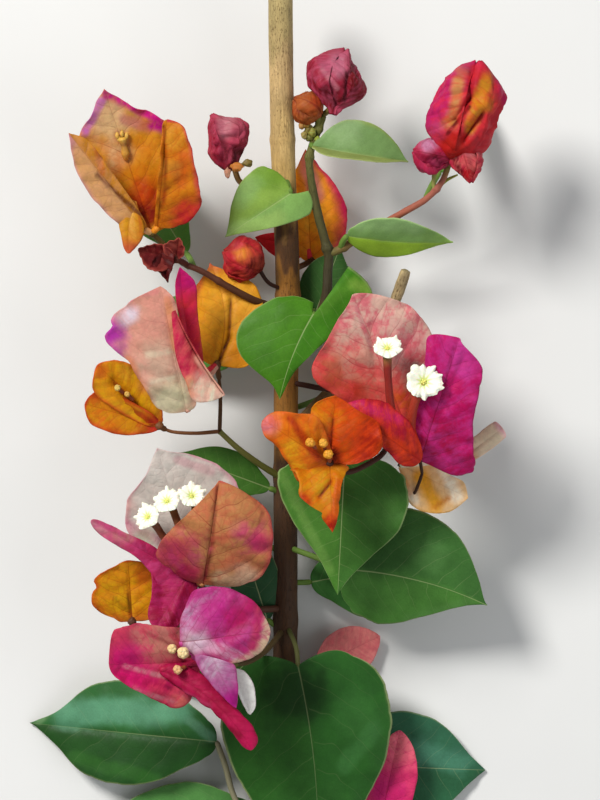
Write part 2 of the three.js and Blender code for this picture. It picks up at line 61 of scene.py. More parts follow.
# In the functions below p is a grid of points. On a blade u goes from 0 at the base to 1 at the tip, and v
# from -1 at the left edge to 1 at the right. What a length is divided by inside noise() is the size of the
# bumps, in millimetres too, and the number added to the seed tells one pattern from the next.


# Numbers and noise
def lattice(i, j, k, seed):
    h = (i * 374761393 + j * 668265263 + k * 1442695041 + seed * 974634777) & 0xFFFFFFFF
    h = ((h ^ (h >> 13)) * 1274126177) & 0xFFFFFFFF
    return ((h ^ (h >> 16)) & 0xFFFF) / 32767.5 - 1


def noise(x, y, z=0.0, seed=0):
    """Smooth value noise from -1 to 1."""
    x, y, z = np.broadcast_arrays(np.asarray(x, float), y, z)
    i, j, k = (np.floor(c).astype(np.int64) for c in (x, y, z))
    f, g, h = (c * c * (3 - 2 * c) for c in (x - i, y - j, z - k))
    total = 0
    for a in (0, 1):
        for b in (0, 1):
            for c in (0, 1):
                share = (f if a else 1 - f) * (g if b else 1 - g) * (h if c else 1 - h)
                total = total + share * lattice(i + a, j + b, k + c, seed)
    return total


def smooth(low, high, x):
    t = np.clip((x - low) / (high - low), 0, 1)
    return t * t * (3 - 2 * t)


def along(values, t):
    """Smooth curve through evenly spaced values, at t from 0 to 1. The values may be points."""
    v = np.asarray(values, float)
    last = len(v) - 1
    i = np.clip((t * last).astype(int), 0, last - 1)
    f = t * last - i
    pad = np.concatenate([[2 * v[0] - v[1]], v, [2 * v[-1] - v[-2]]])
    p, q, r, s = pad[i], pad[i + 1], pad[i + 2], pad[i + 3]
    if v.ndim > 1:
        f = f[..., None]
    curved = (2 * p - 5 * q + 4 * r - s) * f * f + (3 * q - p - 3 * r + s) * f ** 3
    return 0.5 * (2 * q + (r - p) * f + curved)


def unit(v):
    return v / np.maximum(np.linalg.norm(v, axis=-1, keepdims=True), 1e-9)


def turned(v, axis, degrees):
    a = np.radians(degrees)
    return v * np.cos(a) + np.cross(axis, v) * np.sin(a) + axis * (v @ axis) * (1 - np.cos(a))


def pair(x):
    """The left and the right half's value, where one value may stand for both."""
    return x if isinstance(x, tuple) else (x, x)


def colour(code):
    c = np.array([int(code[k:k + 2], 16) / 255 for k in (1, 3, 5)])
    return np.where(c <= 0.04045, c / 12.92, ((c + 0.055) / 1.055) ** 2.4)


# Meshes
ATTRIBUTES = {          # what each point of a mesh carries for the materials to read
    "vein": ("FLOAT_VECTOR", "vector"),     # on a sheet: millimetres along and across it, side veins' phase
    "place": ("FLOAT_VECTOR", "vector"),    # on a sheet: 0 at the midrib to 1 at the edge, seed, and u
    "tint": ("FLOAT_COLOR", "color"),       # colour, and how strong the veins or the bark's specks are
    "bleed": ("FLOAT_COLOR", "color"),      # second colour, and how much of it there is
    "under": ("FLOAT", "value"),            # 1 on a sheet's underside
}


class Piece:
    """Gathers closed grids into one mesh."""

    def __init__(self):
        self.points, self.faces, self.slots, self.materials = [], [], [], []
        self.data = {key: [] for key in ATTRIBUTES}
        self.count = 0

    def add(self, points, faces, material, **data):
        if material not in self.materials:
            self.materials.append(material)
        self.points.append(points)
        self.faces.append(faces + self.count)
        self.slots.append(np.full(len(faces), self.materials.index(material)))
        for key, value in data.items():
            self.data[key].append(value)
        self.count += len(points)

    def top(self, x, y):
        """Height of what is highest near a place, in layout millimetres."""
        p = np.concatenate(self.points)
        away = np.hypot(p[:, 0] - x, p[:, 1] - y)
        near = away < NEAR
        return p[near, 2].max() if near.any() else p[away.argmin(), 2]

    def build(self, name, slot, *nodes):
        points = (np.concatenate(self.points) + CENTRE) * MM
        faces = np.concatenate(self.faces)
        mesh = bpy.data.meshes.new(name)
        mesh.vertices.add(len(points))
        mesh.vertices.foreach_set("co", points.ravel())
        mesh.loops.add(faces.size)
        mesh.loops.foreach_set("vertex_index", faces.ravel())
        mesh.polygons.add(len(faces))
        mesh.polygons.foreach_set("loop_start", np.arange(len(faces)) * 4)
        mesh.polygons.foreach_set("loop_total", np.full(len(faces), 4))
        mesh.polygons.foreach_set("material_index", np.concatenate(self.slots))
        mesh.polygons.foreach_set("use_smooth", np.ones(len(faces), bool))
        for material in self.materials:
            mesh.materials.append(MATERIALS[material])
        for key, (kind, field) in ATTRIBUTES.items():
            attribute = mesh.attributes.new(key, kind, "POINT")
            attribute.data.foreach_set(field, np.concatenate(self.data[key]).astype(np.float32).ravel())
        mesh.update()
        mesh.validate()
        piece = bpy.data.objects.new(name, mesh)
        bpy.context.scene.collection.objects.link(piece)
        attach(piece, "root")
        if nodes:
            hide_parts(*nodes)


def quads(rows, columns, wrap=False):
    i, j = np.meshgrid(np.arange(rows - 1), np.arange(columns if wrap else columns - 1), indexing="ij")
    k = (j + 1) % columns
    cells = [i * columns + j, i * columns + k, (i + 1) * columns + k, (i + 1) * columns + j]
    return np.stack(cells, -1).reshape(-1, 4)


def normals(p):
    across, ahead = np.gradient(p, axis=1), np.gradient(p, axis=0)
    return unit(np.cross(across, ahead))


def slab(piece, p, thick, **data):
    """Thin closed sheet of bract or leaf round the grid p."""
    rows, columns = p.shape[:2]
    n = normals(p) * thick[..., None] / 2
    half_way = rows * columns
    cells = quads(rows, columns)
    ring = np.concatenate([
        np.arange(columns), np.arange(1, rows) * columns + columns - 1,
        (rows - 1) * columns + np.arange(columns - 2, -1, -1), np.arange(rows - 2, 0, -1) * columns,
    ])
    after = np.roll(ring, -1)
    margin = np.stack([ring, ring + half_way, after + half_way, after], -1)
    faces = np.concatenate([cells, cells[:, ::-1] + half_way, margin])
    points = np.concatenate([p + n, p - n]).reshape(-1, 3)
    material = data.pop("material")
    twice = {key: np.tile(value.reshape(half_way, -1), (2, 1)) for key, value in data.items()}
    piece.add(points, faces, material, under=np.repeat([0.0, 1.0], half_way), **twice)


def closed(piece, p, material, vein, place, tint):
    """Closed skin of rings, p[row, corner], shut at both ends by a small cap."""
    rows, columns = p.shape[:2]
    k = np.arange(0, columns, 2)
    middle = np.full(len(k), rows * columns)
    low = np.stack([middle, (k + 2) % columns, k + 1, k], -1)
    high = np.stack([middle + 1, k, k + 1, (k + 2) % columns], -1)
    high[:, 1:] += (rows - 1) * columns
    faces = np.concatenate([quads(rows, columns, wrap=True), low, high])
    data = []
    for a in (p, vein, place, tint):
        a = np.broadcast_to(a, (rows, columns, np.shape(a)[-1]))
        data.append(np.concatenate([a.reshape(rows * columns, -1), a[[0, -1]].mean(1)]))
    points, vein, place, tint = data
    top_side = np.zeros(len(points))
    piece.add(points, faces, material, vein=vein, place=place, tint=tint, bleed=tint, under=top_side)


# Paint. Each op gives a colour, its strength, and how much of it lies at each place of a grid g. There x and
# y are layout millimetres, s goes from 0 at the base to 1 at the tip, v is as above, and n is noise.
def off_line(x, y, x0, y0, x1, y1):
    """Distance from the line between two points."""
    dx, dy = x1 - x0, y1 - y0
    t = np.clip(((x - x0) * dx + (y - y0) * dy) / max(dx * dx + dy * dy, 1e-6), 0, 1)
    return np.hypot(x - x0 - t * dx, y - y0 - t * dy)


def within(d):
    """1 inside a reach of 1, fading out round it."""
    return 1 - smooth(0.35, 1.25, d)


def spot(code, x, y, r, strength=1.0):
    return code, strength, lambda g: within(np.hypot(g.x - x, g.y - y) / r + 0.35 * g.n)


def line(code, x0, y0, x1, y1, r, strength=1.0):
    """Stripe. One that is too thin for the cells is laid wider and fainter."""
    wide = max(r, THIN)
    uneven = 0.3 * min(1, wide / 1.5)
    faint = min(1, (r / THIN) ** 0.5)
    return code, strength * faint, lambda g: within(off_line(g.x, g.y, x0, y0, x1, y1) / wide + uneven * g.n)


def fade(code, x0, y0, x1, y1, strength=1.0):
    """None at the first point, all at the second and beyond."""
    dx, dy = x1 - x0, y1 - y0
    size = dx * dx + dy * dy
    return code, strength, lambda g: smooth(0, 1, ((g.x - x0) * dx + (g.y - y0) * dy) / size + 0.18 * g.n)


def rim(code, reach, side=0, strength=1.0):
    """Along the edge, or along one side's edge where side is -1 or 1."""
    def mask(g):
        w = smooth(1 - reach, 1, np.maximum(np.abs(g.v), smooth(0.9, 1, g.s)) + 0.25 * reach * g.n)
        return w * smooth(-0.1, 0.1, g.v * side) if side else w
    return code, strength, mask


def near_tip(code, reach):
    return code, 1.0, lambda g: smooth(1 - reach, 1, g.s + 0.3 * reach * g.n)


def near_base(code, reach):
    return code, 1.0, lambda g: smooth(1 - reach, 1, 1 - g.s + 0.3 * reach * g.n)


def half(code, side):
    """All of one side of the midrib."""
    return code, 1.0, lambda g: smooth(-0.12, 0.12, g.v * side + 0.05 * g.n)


def painted(tint, ops, p, s, v, seed, alpha):
    """A plain colour with the ops laid over it in turn."""
    x, y = p[..., 0], p[..., 1]
    n = 0.65 * noise(x / 3.1, y / 3.1, seed=seed) + 0.35 * noise(x / 1.3, y / 1.3, seed=seed + 7)
    g = SimpleNamespace(x=x, y=y, s=s, v=v, n=n)
    out = np.empty((*x.shape, 4))
    out[..., :3] = colour(tint)
    out[..., 3] = alpha
    for code, strength, mask in ops:
        w = (mask(g) * strength)[..., None]
        out[..., :3] = out[..., :3] * (1 - w) + colour(code) * w
    return out


def bled(bleed, tint, p, s, v, seed):
    """The second colour, which runs into the first in blotches and along the veins, with how much of it."""
    if not bleed:
        return tint * [1, 1, 1, 0]
    amount, code, *ops = bleed
    return painted(code, ops, p, s, v, seed + 50, amount)


def ridges(folds, p):
    """Height of ridges, and of dents where it is negative. Each has two ends, a reach and a height."""
    total = np.zeros(p.shape[:2])
    for *ends, reach, high in folds:
        total = total + high * np.exp(-(off_line(p[..., 0], p[..., 1], *ends) / reach) ** 1.5)
    return total


# Blades. What leaves and bracts differ in: how strong the veins' colour is, how ragged the edge, how high the
# quilting between the veins, the crumpling and the ruffled edge, how many pairs of side veins there are, how
# they lean and bend, and how thick the sheet is.
SHEETS = {
    "leaf": dict(veins=1.0, rag=0.012, relief=0.07, crumple=0.35, ripple=0.15, pairs=7.5, lean=0.5,
                 bent=0.022, thick=0.5),
    "bract": dict(veins=0.5, rag=0.022, relief=0.26, crumple=0.55, ripple=0.5, pairs=6.5, lean=0.62,
                  bent=0.02, thick=0.4),
}


def blade(piece, base, tip, left, tint, right=None, material="bract", paint=(), bleed=(), folds=(),
          notches=(), roll=0, bow=0, sway=0, hook=0, curl=0, fold=0, lobe=0, cleft=None, corner=0.18,
          foot=0.5, sharp=0.75, gap=None, **look):
    """Leaf or bract. Its middle surface runs from base to tip. left and right are its half-widths at places
    that are close together near the ends, foot is the one at the base, and sharp is how far the tip comes to
    a point. roll turns it about its midrib, bow and sway bend the midrib, hook bends its end, curl and fold
    lift its halves, lobe pulls its base corners back and corner rounds them. Each notch has a side, u, width
    and depth. gap is the distance between side veins."""
    look = SimpleNamespace(**{**SHEETS[material], **look})
    base = np.array(base, float)
    axis = np.array(tip, float) - base
    length = np.linalg.norm(axis)
    d = axis / length
    up = turned(unit(UP - d * d[2]), d, roll)
    aside = np.cross(d, up)
    right = right or left
    seed = int(abs(base[0] * 31 + base[1] * 17 + length * 7)) + 1
    rows = int(np.clip(length / GRAIN, *ROWS))
    columns = int(np.clip((max(left) + max(right)) / GRAIN, *COLUMNS)) // 2 * 2 + 1
    t, v = np.meshgrid(np.linspace(0, 1, rows), np.linspace(-1, 1, columns), indexing="ij")
    u = (1 - np.cos(np.pi * t)) / 2
    a = np.abs(v)

    def rib(u):
        u = u[..., None]
        hump = 4 * u * (1 - u)
        return base + d * length * u + up * (bow * hump + hook * u ** 3) + aside * sway * hump

    ahead = unit(rib(u + 0.002) - rib(u - 0.002))
    face = unit(up - ahead * (ahead @ up)[..., None])
    side = np.cross(ahead, face)

    # Outline
    x_mm = u * length
    widths = []
    for sign, row in ((-1, left), (1, right)):
        width = np.maximum(along([foot, *row, 0.15], t), SLENDER)
        width = width * (1 - sharp * np.exp(-(1 - u) / TAPER))
        ragged = noise(x_mm / 3.3, sign * 5.0, seed=seed) + 0.5 * noise(x_mm / 1.1, sign * 5.0, seed=seed + 1)
        width = width * (1 + look.rag * ragged)
        for where, at, wide, deep in notches:
            if where == sign:
                width = width * (1 - deep * np.exp(-((u - at) / wide) ** 2))
        widths.append(width)
    width = np.where(v < 0, *widths)
    first = np.where(v < 0, left[0], right[0])
    out = np.clip(a * width / first, 0, 1)
    rounded = np.minimum(corner * first, length / 9) * out ** 6 * (1 - u) ** 6
    pull = a ** 1.5 if cleft is None else out ** cleft
    back = np.where(v < 0, *pair(lobe)) * pull * (1 - u) ** 2.5 - rounded

    # Curled and folded halves
    bend = np.radians(np.where(v < 0, *pair(curl))) + 1e-4
    lift = np.radians(np.where(v < 0, *pair(fold)))
    x0, z0 = width * np.sin(bend * a) / bend, width * (1 - np.cos(bend * a)) / bend
    x = (x0 * np.cos(lift) - z0 * np.sin(lift)) * np.sign(v)
    z = x0 * np.sin(lift) + z0 * np.cos(lift)
    p = rib(u) + side * x[..., None] + face * z[..., None] - ahead * back[..., None]

    # Side veins leave the midrib in pairs that aren't quite level, and bend towards the tip
    x_mm = x_mm - back
    y_mm = v * width
    ay = np.abs(y_mm)
    gap = gap or max(length / look.pairs, VEIN_GAP)
    wander = 0.22 * noise(x_mm / 9, y_mm / 7, seed=seed + 3) + 0.1 * noise(x_mm / 3, y_mm / 3, seed=seed + 4)
    phase = (x_mm - look.lean * ay - look.bent * ay * ay) / gap + np.where(v < 0, 0.0, 0.37) + wander

    # Relief
    off = np.abs(phase - np.floor(phase) - 0.5) * gap
    quilt = look.relief * (smooth(0, 1.5, off) - 0.5) * smooth(0, 1.5, ay)
    groove = -1.5 * look.relief * np.exp(-(y_mm / 0.5) ** 2) * (1 - 0.7 * u)
    fine = noise(x_mm / 3.6, y_mm / 3.2, seed=seed + 6)
    rough = look.crumple * (noise(x_mm / 9, y_mm / 8, seed=seed + 5) + 0.35 * fine)
    wave = look.ripple * min(max(*left, *right) / 9, 1)
    turns = x_mm / RUFFLE * 2 * np.pi + 2.2 * noise(x_mm / 7, 0 * v, seed=seed + 8)
    edge = wave * a ** 3 * np.sin(turns + np.where(v < 0, 0.0, 2.1) + seed)
    high = quilt + groove + rough * (0.25 + 0.75 * a) + edge + ridges(folds, p)
    p = p + normals(p) * (high * smooth(0, 0.1, u) * smooth(0, 0.06, 1 - u))[..., None]

    tint = painted(tint, paint, p, u, v, seed, look.veins)
    second = bled(bleed, tint, p, u, v, seed)
    place = np.stack([a, np.full_like(a, seed % SEEDS), u], -1)
    slab(piece, p, look.thick * (1 - 0.6 * a ** 4), material=material,
         vein=np.stack([x_mm, y_mm, phase], -1), place=place, tint=tint, bleed=second)


def pod(piece, base, tip, left, tint, crumple, right=None, paint=(), bleed=(), folds=(), seed=None, turn=90,
        notch=0.06, depth=0.85, veins=1.0):
    """Closed young bloom: three crumpled bracts wrapped round one another. left and right are the half-widths
    of its outline from base to tip, depth is its depth as a share of them, and notch is how far the bracts'
    corners stay below their tips. turn is where the first keel points, from the right, counterclockwise."""
    base = np.array(base, float)
    axis = np.array(tip, float) - base
    length = np.linalg.norm(axis)
    d = axis / length
    up = unit(UP - d * d[2])
    aside = np.cross(d, up)
    right = right or left
    widest = max(*left, *right)
    seed = seed or int(abs(base[0] * 13 + base[1] * 7)) + 5
    rows = int(np.clip(length / POD_GRAIN, *POD_ROWS))
    columns = int(np.clip(widest * 10, *POD_COLUMNS)) // 2 * 2 + 1
    t, w = np.meshgrid(np.linspace(0, 1, rows), np.linspace(-1, 1, columns), indexing="ij")
    low, high = (np.maximum(along([0.8, *row, row[-1] * 0.15], t), 0.3) for row in (left, right))
    grow = 0.97 + 0.1 * (1 - np.abs(w)) ** 1.5 - 0.08 * w
    reach = length * t * (1 - notch * np.abs(w) ** 1.5 * smooth(0.55, 1, t))
    x_mm, y_mm = t * length, w * widest * 1.2 * np.sin(np.pi * np.clip(t, 0.15, 0.9))
    gap = max(length / 7.0, 1.5)
    for k in range(3):
        angle = np.radians(turn + 120 * k + w * 76 * (1 - 0.15 * t ** 3))
        x = np.cos(angle) * np.where(np.cos(angle) < 0, low, high) * grow
        z = np.sin(angle) * depth * (low + high) / 2 * grow
        p = base + d * reach[..., None] + aside * x[..., None] + up * z[..., None]
        wander = 0.25 * noise(x_mm / 4, y_mm / 4, k, seed=seed)
        phase = (x_mm - 0.7 * np.abs(y_mm)) / gap + np.where(w < 0, 0.0, 0.4) + wander
        off = np.abs(phase - np.floor(phase) - 0.5) * gap
        crease = noise(x_mm / (0.55 * widest), y_mm / (0.4 * widest), k * 5.0, seed=seed + 2)
        small = noise(x_mm / 2.2, y_mm / 1.8, k * 3.0, seed=seed + 3)
        lift = crumple * (1 - 2 * np.abs(crease) + 0.5 * small)
        lift = lift + 0.2 * smooth(0, 0.9, off) + 0.3 * np.exp(-(y_mm / 0.6) ** 2)
        lift = lift * np.sin(np.pi * np.clip(t, 0.03, 0.97)) ** 0.5
        lift = lift + smooth(-0.1, 0.5, np.sin(angle)) * ridges(folds, p)
        p = p - normals(p) * lift[..., None]
        thick = SHEETS["bract"]["thick"] * (1 - 0.5 * np.abs(w) ** 4)
        place = np.stack([np.abs(w), np.full_like(w, (seed + k) % SEEDS), t], -1)
        colours = painted(tint, paint, p, t, w, seed + k, veins)
        second = bled(bleed, colours, p, t, w, seed)
        slab(piece, p, thick, material="bract", vein=np.stack([x_mm, y_mm, phase], -1), place=place,
             tint=colours, bleed=second)


def tube(piece, path, radii, tint, material="bark", corners=16, step=0.9, relief=0.0, speckle=0.0, knots=(),
         seed=3):
    """Limb, twig or stalk: rings along a smooth curve. tint is a colour, or (share, colour) pairs along it. A
    knot is given by how far along it is, its height and its reach."""
    path = np.array(path, float)
    spans = np.linalg.norm(np.diff(path, axis=0), axis=1)
    rows = int(max(np.ceil(spans.sum() / step), 6))
    share = np.concatenate([[0], np.cumsum(spans)]) / spans.sum()
    t = np.linspace(0, 1, rows)
    centre = along(path, np.interp(t, share, np.linspace(0, 1, len(path))))
    ahead = unit(np.gradient(centre, axis=0))
    sides = [unit(np.cross(ahead[0], np.array([0.31, 0.17, 0.94])))]
    for a in ahead[1:]:
        sides.append(unit(sides[-1] - a * (sides[-1] @ a)))
    side = np.array(sides)
    top = np.cross(ahead, side)
    radii = np.atleast_1d(radii)
    radius = np.interp(t, np.linspace(0, 1, len(radii)), radii)
    s_mm = t * spans.sum()
    for at, high, wide in knots:
        radius = radius + high * np.exp(-((s_mm - at) / wide) ** 2)
    radius, s_mm = radius[:, None], s_mm[:, None]
    angle = np.linspace(0, 2 * np.pi, corners, endpoint=False)[None, :]
    cos, sin = np.cos(angle), np.sin(angle)
    x, y = cos * radius, sin * radius
    r = np.repeat(radius, corners, 1)
    if relief:
        r = r + relief * (0.55 * noise(x * 0.9, y * 0.9, s_mm / 9, seed)
                          + 0.3 * noise(x * 1.8, y * 1.8, s_mm / 5, seed + 1)
                          + 0.22 * noise(x * 2.4, y * 2.4, s_mm / 1.3, seed + 2))
        r = r * (1 - 0.12 * np.exp(-(np.minimum(s_mm, s_mm[-1] - s_mm) / 0.7) ** 2))
    round_it = side[:, None] * cos[..., None] + top[:, None] * sin[..., None]
    p = centre[:, None] + round_it * r[..., None]
    if not relief:
        for end, sign in ((0, -1), (-1, 1)):
            p[end] = centre[end] + (p[end] - centre[end]) * 0.6 + ahead[end] * sign * CAP * radius[end]
    colours = np.full((rows, corners, 4), float(speckle))
    stops = [(0, tint), (1, tint)] if isinstance(tint, str) else tint
    at = t[:, None] + 0.02 * noise(cos * 2, sin * 2, s_mm / 4, seed + 9)
    for k in range(3):
        colours[..., k] = np.interp(at, [q[0] for q in stops], [colour(q[1])[k] for q in stops])
    grain = np.stack([x, y, np.repeat(s_mm, corners, 1)], -1)
    closed(piece, p, material, grain, [0.0, seed, 0.0], colours)


def ball(piece, centre, radius, tint, squash=(1, 1, 1), rough=0.08, seed=1):
    """Small uneven bead."""
    a = np.linspace(0.04, np.pi - 0.04, 12)[:, None]
    b = np.linspace(0, 2 * np.pi, 16, endpoint=False)[None, :]
    p = np.stack([np.sin(a) * np.cos(b), np.sin(a) * np.sin(b), -np.cos(a) + 0 * b], -1)
    r = radius * (1 + rough * noise(p[..., 0] * 2, p[..., 1] * 2, p[..., 2] * 2, seed))
    p = np.array(centre, float) + p * r[..., None] * np.array(squash)
    closed(piece, p, "soft", p, p * 0 + seed, [*colour(tint), 0.0])


def star(piece, centre, facing, radius, seed=1):
    """Small open flower: five white lobes, each notched and ruffled, with green rays round a yellow eye."""
    facing = unit(np.array(facing, float))
    side = unit(np.cross(facing, np.array([0.3, 0.9, 0.1])))
    up = np.cross(facing, side)
    rows, columns = 22, 120
    q = np.linspace(0.06, 1, rows)[:, None]
    b = np.linspace(0, 2 * np.pi, columns, endpoint=False)[None, :]
    five, ten = np.cos(5 * b + seed), np.cos(10 * b + 2 * seed)
    wild = noise(np.cos(b) * 2.5, np.sin(b) * 2.5, seed=seed)
    frill = noise(np.cos(b) * 9, np.sin(b) * 9, seed=seed + 1)
    out = 0.87 + 0.05 * five + 0.045 * ten + 0.07 * wild + 0.07 * frill
    r = radius * q * (1 + (out - 1) * q ** 1.5)
    z = radius * (-0.3 * (1 - q) ** 1.8 + 0.06 * ten * q ** 2 + 0.1 * wild * q ** 2 + 0.09 * frill * q ** 3
                  - 0.1 * smooth(0.75, 1, q))
    centre = np.array(centre, float)
    top = centre + side * (r * np.cos(b))[..., None] + up * (r * np.sin(b))[..., None]
    top = top + facing * z[..., None]
    tint = np.ones((rows, columns, 4))
    rays = (1 - smooth(0.16, 0.46, q * (1.1 - 0.3 * ten)))[..., None]
    eye = (1 - smooth(0.06, 0.14, q))[..., None]
    petal = colour("#ecead8") * (1 - rays) + colour("#cad478") * rays
    tint[..., :3] = petal * (1 - eye) + colour("#c8c24c") * eye
    p, tint = (np.concatenate([x, y[::-1]])[:, ::-1] for x, y in ((top, top - facing * PETAL), (tint, tint)))
    closed(piece, p, "soft", p, p * 0 + seed, tint)
    for k in range(6):
        turn = 2 * np.pi * k / 5 + seed
        place = side * np.cos(turn) + up * np.sin(turn) if k < 5 else facing * 0.6
        place = centre + place * 0.09 * radius - facing * 0.2 * radius
        ball(piece, place, 0.055 * radius, "#dcd878", seed=k)


# Materials
class Value:
    """What comes out of a node, with the arithmetic that the materials need."""

    def __init__(self, nodes, socket):
        self.nodes, self.socket = nodes, socket

    def __add__(self, other):
        return self.nodes.math("ADD", self, other)

    def __sub__(self, other):
        return self.nodes.math("SUBTRACT", self, other)

    def __rsub__(self, other):
        return self.nodes.math("SUBTRACT", other, self)

    def __mul__(self, other):
        return self.nodes.math("MULTIPLY", self, other)

    def __truediv__(self, other):
        return self.nodes.math("DIVIDE", self, other)


class Nodes:
    """A material, and short names for the nodes that it is built from."""

    def __init__(self, name):
        self.material = bpy.data.materials.new(name)
        self.material.use_nodes = True
        self.tree = self.material.node_tree
        self.tree.nodes.clear()

    def put(self, socket, value):
        if isinstance(value, Value):
            self.tree.links.new(value.socket, socket)
        else:
            socket.default_value = value

    def new(self, kind, *values, **sockets):
        """New node, with values for its first sockets in turn, or for sockets by name."""
        node = self.tree.nodes.new(kind)
        for k, value in enumerate(values):
            self.put(node.inputs[k], value)
        for name, value in sockets.items():
            self.put(node.inputs[name.replace("_", " ")], value)
        return node

    def out(self, node, output=0):
        return Value(self, node.outputs[output])

    def attribute(self, name, output="Vector"):
        node = self.new("ShaderNodeAttribute")
        node.attribute_name = name
        return self.out(node, output)

    def apart(self, vector):
        node = self.new("ShaderNodeSeparateXYZ", vector)
        return [self.out(node, k) for k in range(3)]

    def together(self, x, y, z):
        return self.out(self.new("ShaderNodeCombineXYZ", x, y, z))

    def math(self, operation, a, b=0.0):
        node = self.new("ShaderNodeMath", a, b)
        node.operation = operation
        return self.out(node)

    def most(self, a, b):
        return self.math("MAXIMUM", a, b)

    def range(self, value, low, high, to_low=0.0, to_high=1.0):
        node = self.new("ShaderNodeMapRange", value, low, high, to_low, to_high)
        node.interpolation_type = "SMOOTHSTEP"
        return self.out(node)

    def spread(self, grain, low, high):
        """Noise, which is mostly from 0.3 to 0.7, spread from low to high."""
        return self.range(grain, 0.3, 0.7, low, high)

    def under(self, value, low, high):
        """1 where the value is under low, 0 where it is over high."""
        return self.range(value, low, high, 1.0, 0.0)

    def mix(self, share, a, b, blend="MIX"):
        node = self.new("ShaderNodeMix", share)
        node.data_type, node.blend_type = "RGBA", blend
        for socket, value in ((node.inputs[6], a), (node.inputs[7], b)):
            self.put(socket, value if isinstance(value, Value) else (*value, 1.0))
        return self.out(node, 2)

    def shaded(self, look, shade):
        """A colour times a grey or another colour."""
        if isinstance(shade, Value):
            shade = self.together(shade, shade, shade)
        return self.mix(1.0, look, shade, "MULTIPLY")

    def noise(self, vector, scale, detail=3.0, rough=0.55):
        node = self.new("ShaderNodeTexNoise", Vector=vector, Scale=scale, Detail=detail, Roughness=rough)
        return self.out(node)

    def cells(self, vector, scale, feature="DISTANCE_TO_EDGE"):
        node = self.new("ShaderNodeTexVoronoi", Vector=vector, Scale=scale)
        node.feature = feature
        return self.out(node, "Distance")

    def surface(self, look, rough, height, gloss, deep, strength):
        """Shader. gloss is its specular level, and deep is how many metres its bump stands for."""
        bump = self.out(self.new("ShaderNodeBump", Height=height, Distance=deep, Strength=strength))
        return self.new("ShaderNodeBsdfPrincipled", Base_Color=look, Roughness=rough, Normal=bump,
                        Specular_IOR_Level=gloss)

    def finish(self, shader):
        self.new("ShaderNodeOutputMaterial", self.out(shader))
        return self.material


def vein_masks(m, rib_width, side_width, net, fine):
    """Masks of the midrib, of the side veins and of two nets of small veins, with the sheet's coordinates."""
    x, y, phase = m.apart(m.attribute("vein"))
    edge, seed, along = m.apart(m.attribute("place"))
    rib = m.under(m.math("ABSOLUTE", y) / ((1.0 - along * 0.75) * rib_width), 0.35, 1.0)
    off = m.math("ABSOLUTE", m.math("FRACT", phase) - 0.5)
    side = m.under(off / ((1.0 - edge * 0.65) * side_width), 0.3, 1.0)
    sheet = m.together(x, y, seed * 7.3)
    bent = m.new("ShaderNodeVectorMath", sheet, m.together(m.noise(sheet, 0.45), m.noise(sheet, 0.47), 0.0))
    bent.operation = "ADD"
    web = m.under(m.cells(m.out(bent), net), 0.02, 0.075)
    lace = m.under(m.cells(m.out(bent), fine), 0.02, 0.1)
    return rib, side, web, lace, sheet, edge, along


def bract_material():
    m = Nodes("bract")
    rib, side, web, lace, sheet, _, along = vein_masks(m, 0.34, 0.035, 0.36, 0.85)
    _, y, depth = m.apart(sheet)
    phase = m.apart(m.attribute("vein"))[2]
    cloud = m.noise(sheet, 0.24, 5.0, 0.62)
    streaks = m.noise(m.together(phase * 2.6, y * 0.22, depth), 0.9, 6.0, 0.66)
    pool = m.range((cloud + streaks) * 0.5 + m.most(side, web * 0.5) * 0.05, 0.43, 0.6)
    second = pool * m.attribute("bleed", "Alpha")
    body = m.mix(second, m.attribute("tint", "Color"), m.attribute("bleed", "Color"))
    body = m.shaded(body, m.spread(m.noise(sheet, 0.7, 4.0), 0.93, 1.08))
    lines = m.most(rib * 0.8, side * 0.75)
    nets = m.most(web * 0.24, lace * 0.12)
    veins = m.most(lines, nets) * m.attribute("tint", "Alpha") * (1.0 - along * 0.45)
    look = m.mix(veins, body, m.shaded(body, (0.5, 0.2, 0.22)))
    grain = m.noise(sheet, 2.6, 2.0)
    height = grain * 0.3 - m.most(lines, web * 0.35)
    rough = m.spread(grain, 0.46, 0.58)
    shader = m.surface(look, rough, height, gloss=0.16, deep=0.0002, strength=0.5)
    glow = m.new("ShaderNodeBsdfTranslucent", Color=look)
    return m.finish(m.new("ShaderNodeMixShader", 0.3, m.out(shader), m.out(glow)))


def leaf_material():
    m = Nodes("leaf")
    rib, side, web, lace, sheet, edge, _ = vein_masks(m, 0.28, 0.03, 0.3, 0.7)
    veins = m.attribute("tint", "Alpha")
    under = m.attribute("under", "Fac")
    mottle = m.spread(m.noise(sheet, 0.16, 4.0), 0.88, 1.1)
    fleck = m.range(m.noise(sheet, 2.2, 3.0), 0.35, 0.65, 0.95, 1.04)
    body = m.shaded(m.attribute("tint", "Color"), mottle * fleck)
    body = m.mix(under * 0.45, body, (0.33, 0.42, 0.24))
    body = m.mix(m.most(web * 0.3, lace * 0.18) * veins, body, m.shaded(body, (0.78, 0.84, 0.76)))
    pale = m.mix(0.38, body, (0.52, 0.56, 0.27))
    lines = m.most(rib * 0.8, side * 0.22)
    body = m.mix(lines * veins, body, pale)
    look = m.mix(m.range(edge, 0.965, 0.99) * 0.6, body, pale)
    grain = m.noise(sheet, 1.8, 3.0)
    height = grain * 0.25 - m.most(lines, web * 0.12)
    rough = m.spread(grain, 0.46, 0.56) + under * 0.2
    return m.finish(m.surface(look, rough, height, gloss=0.14, deep=0.00018, strength=0.4))


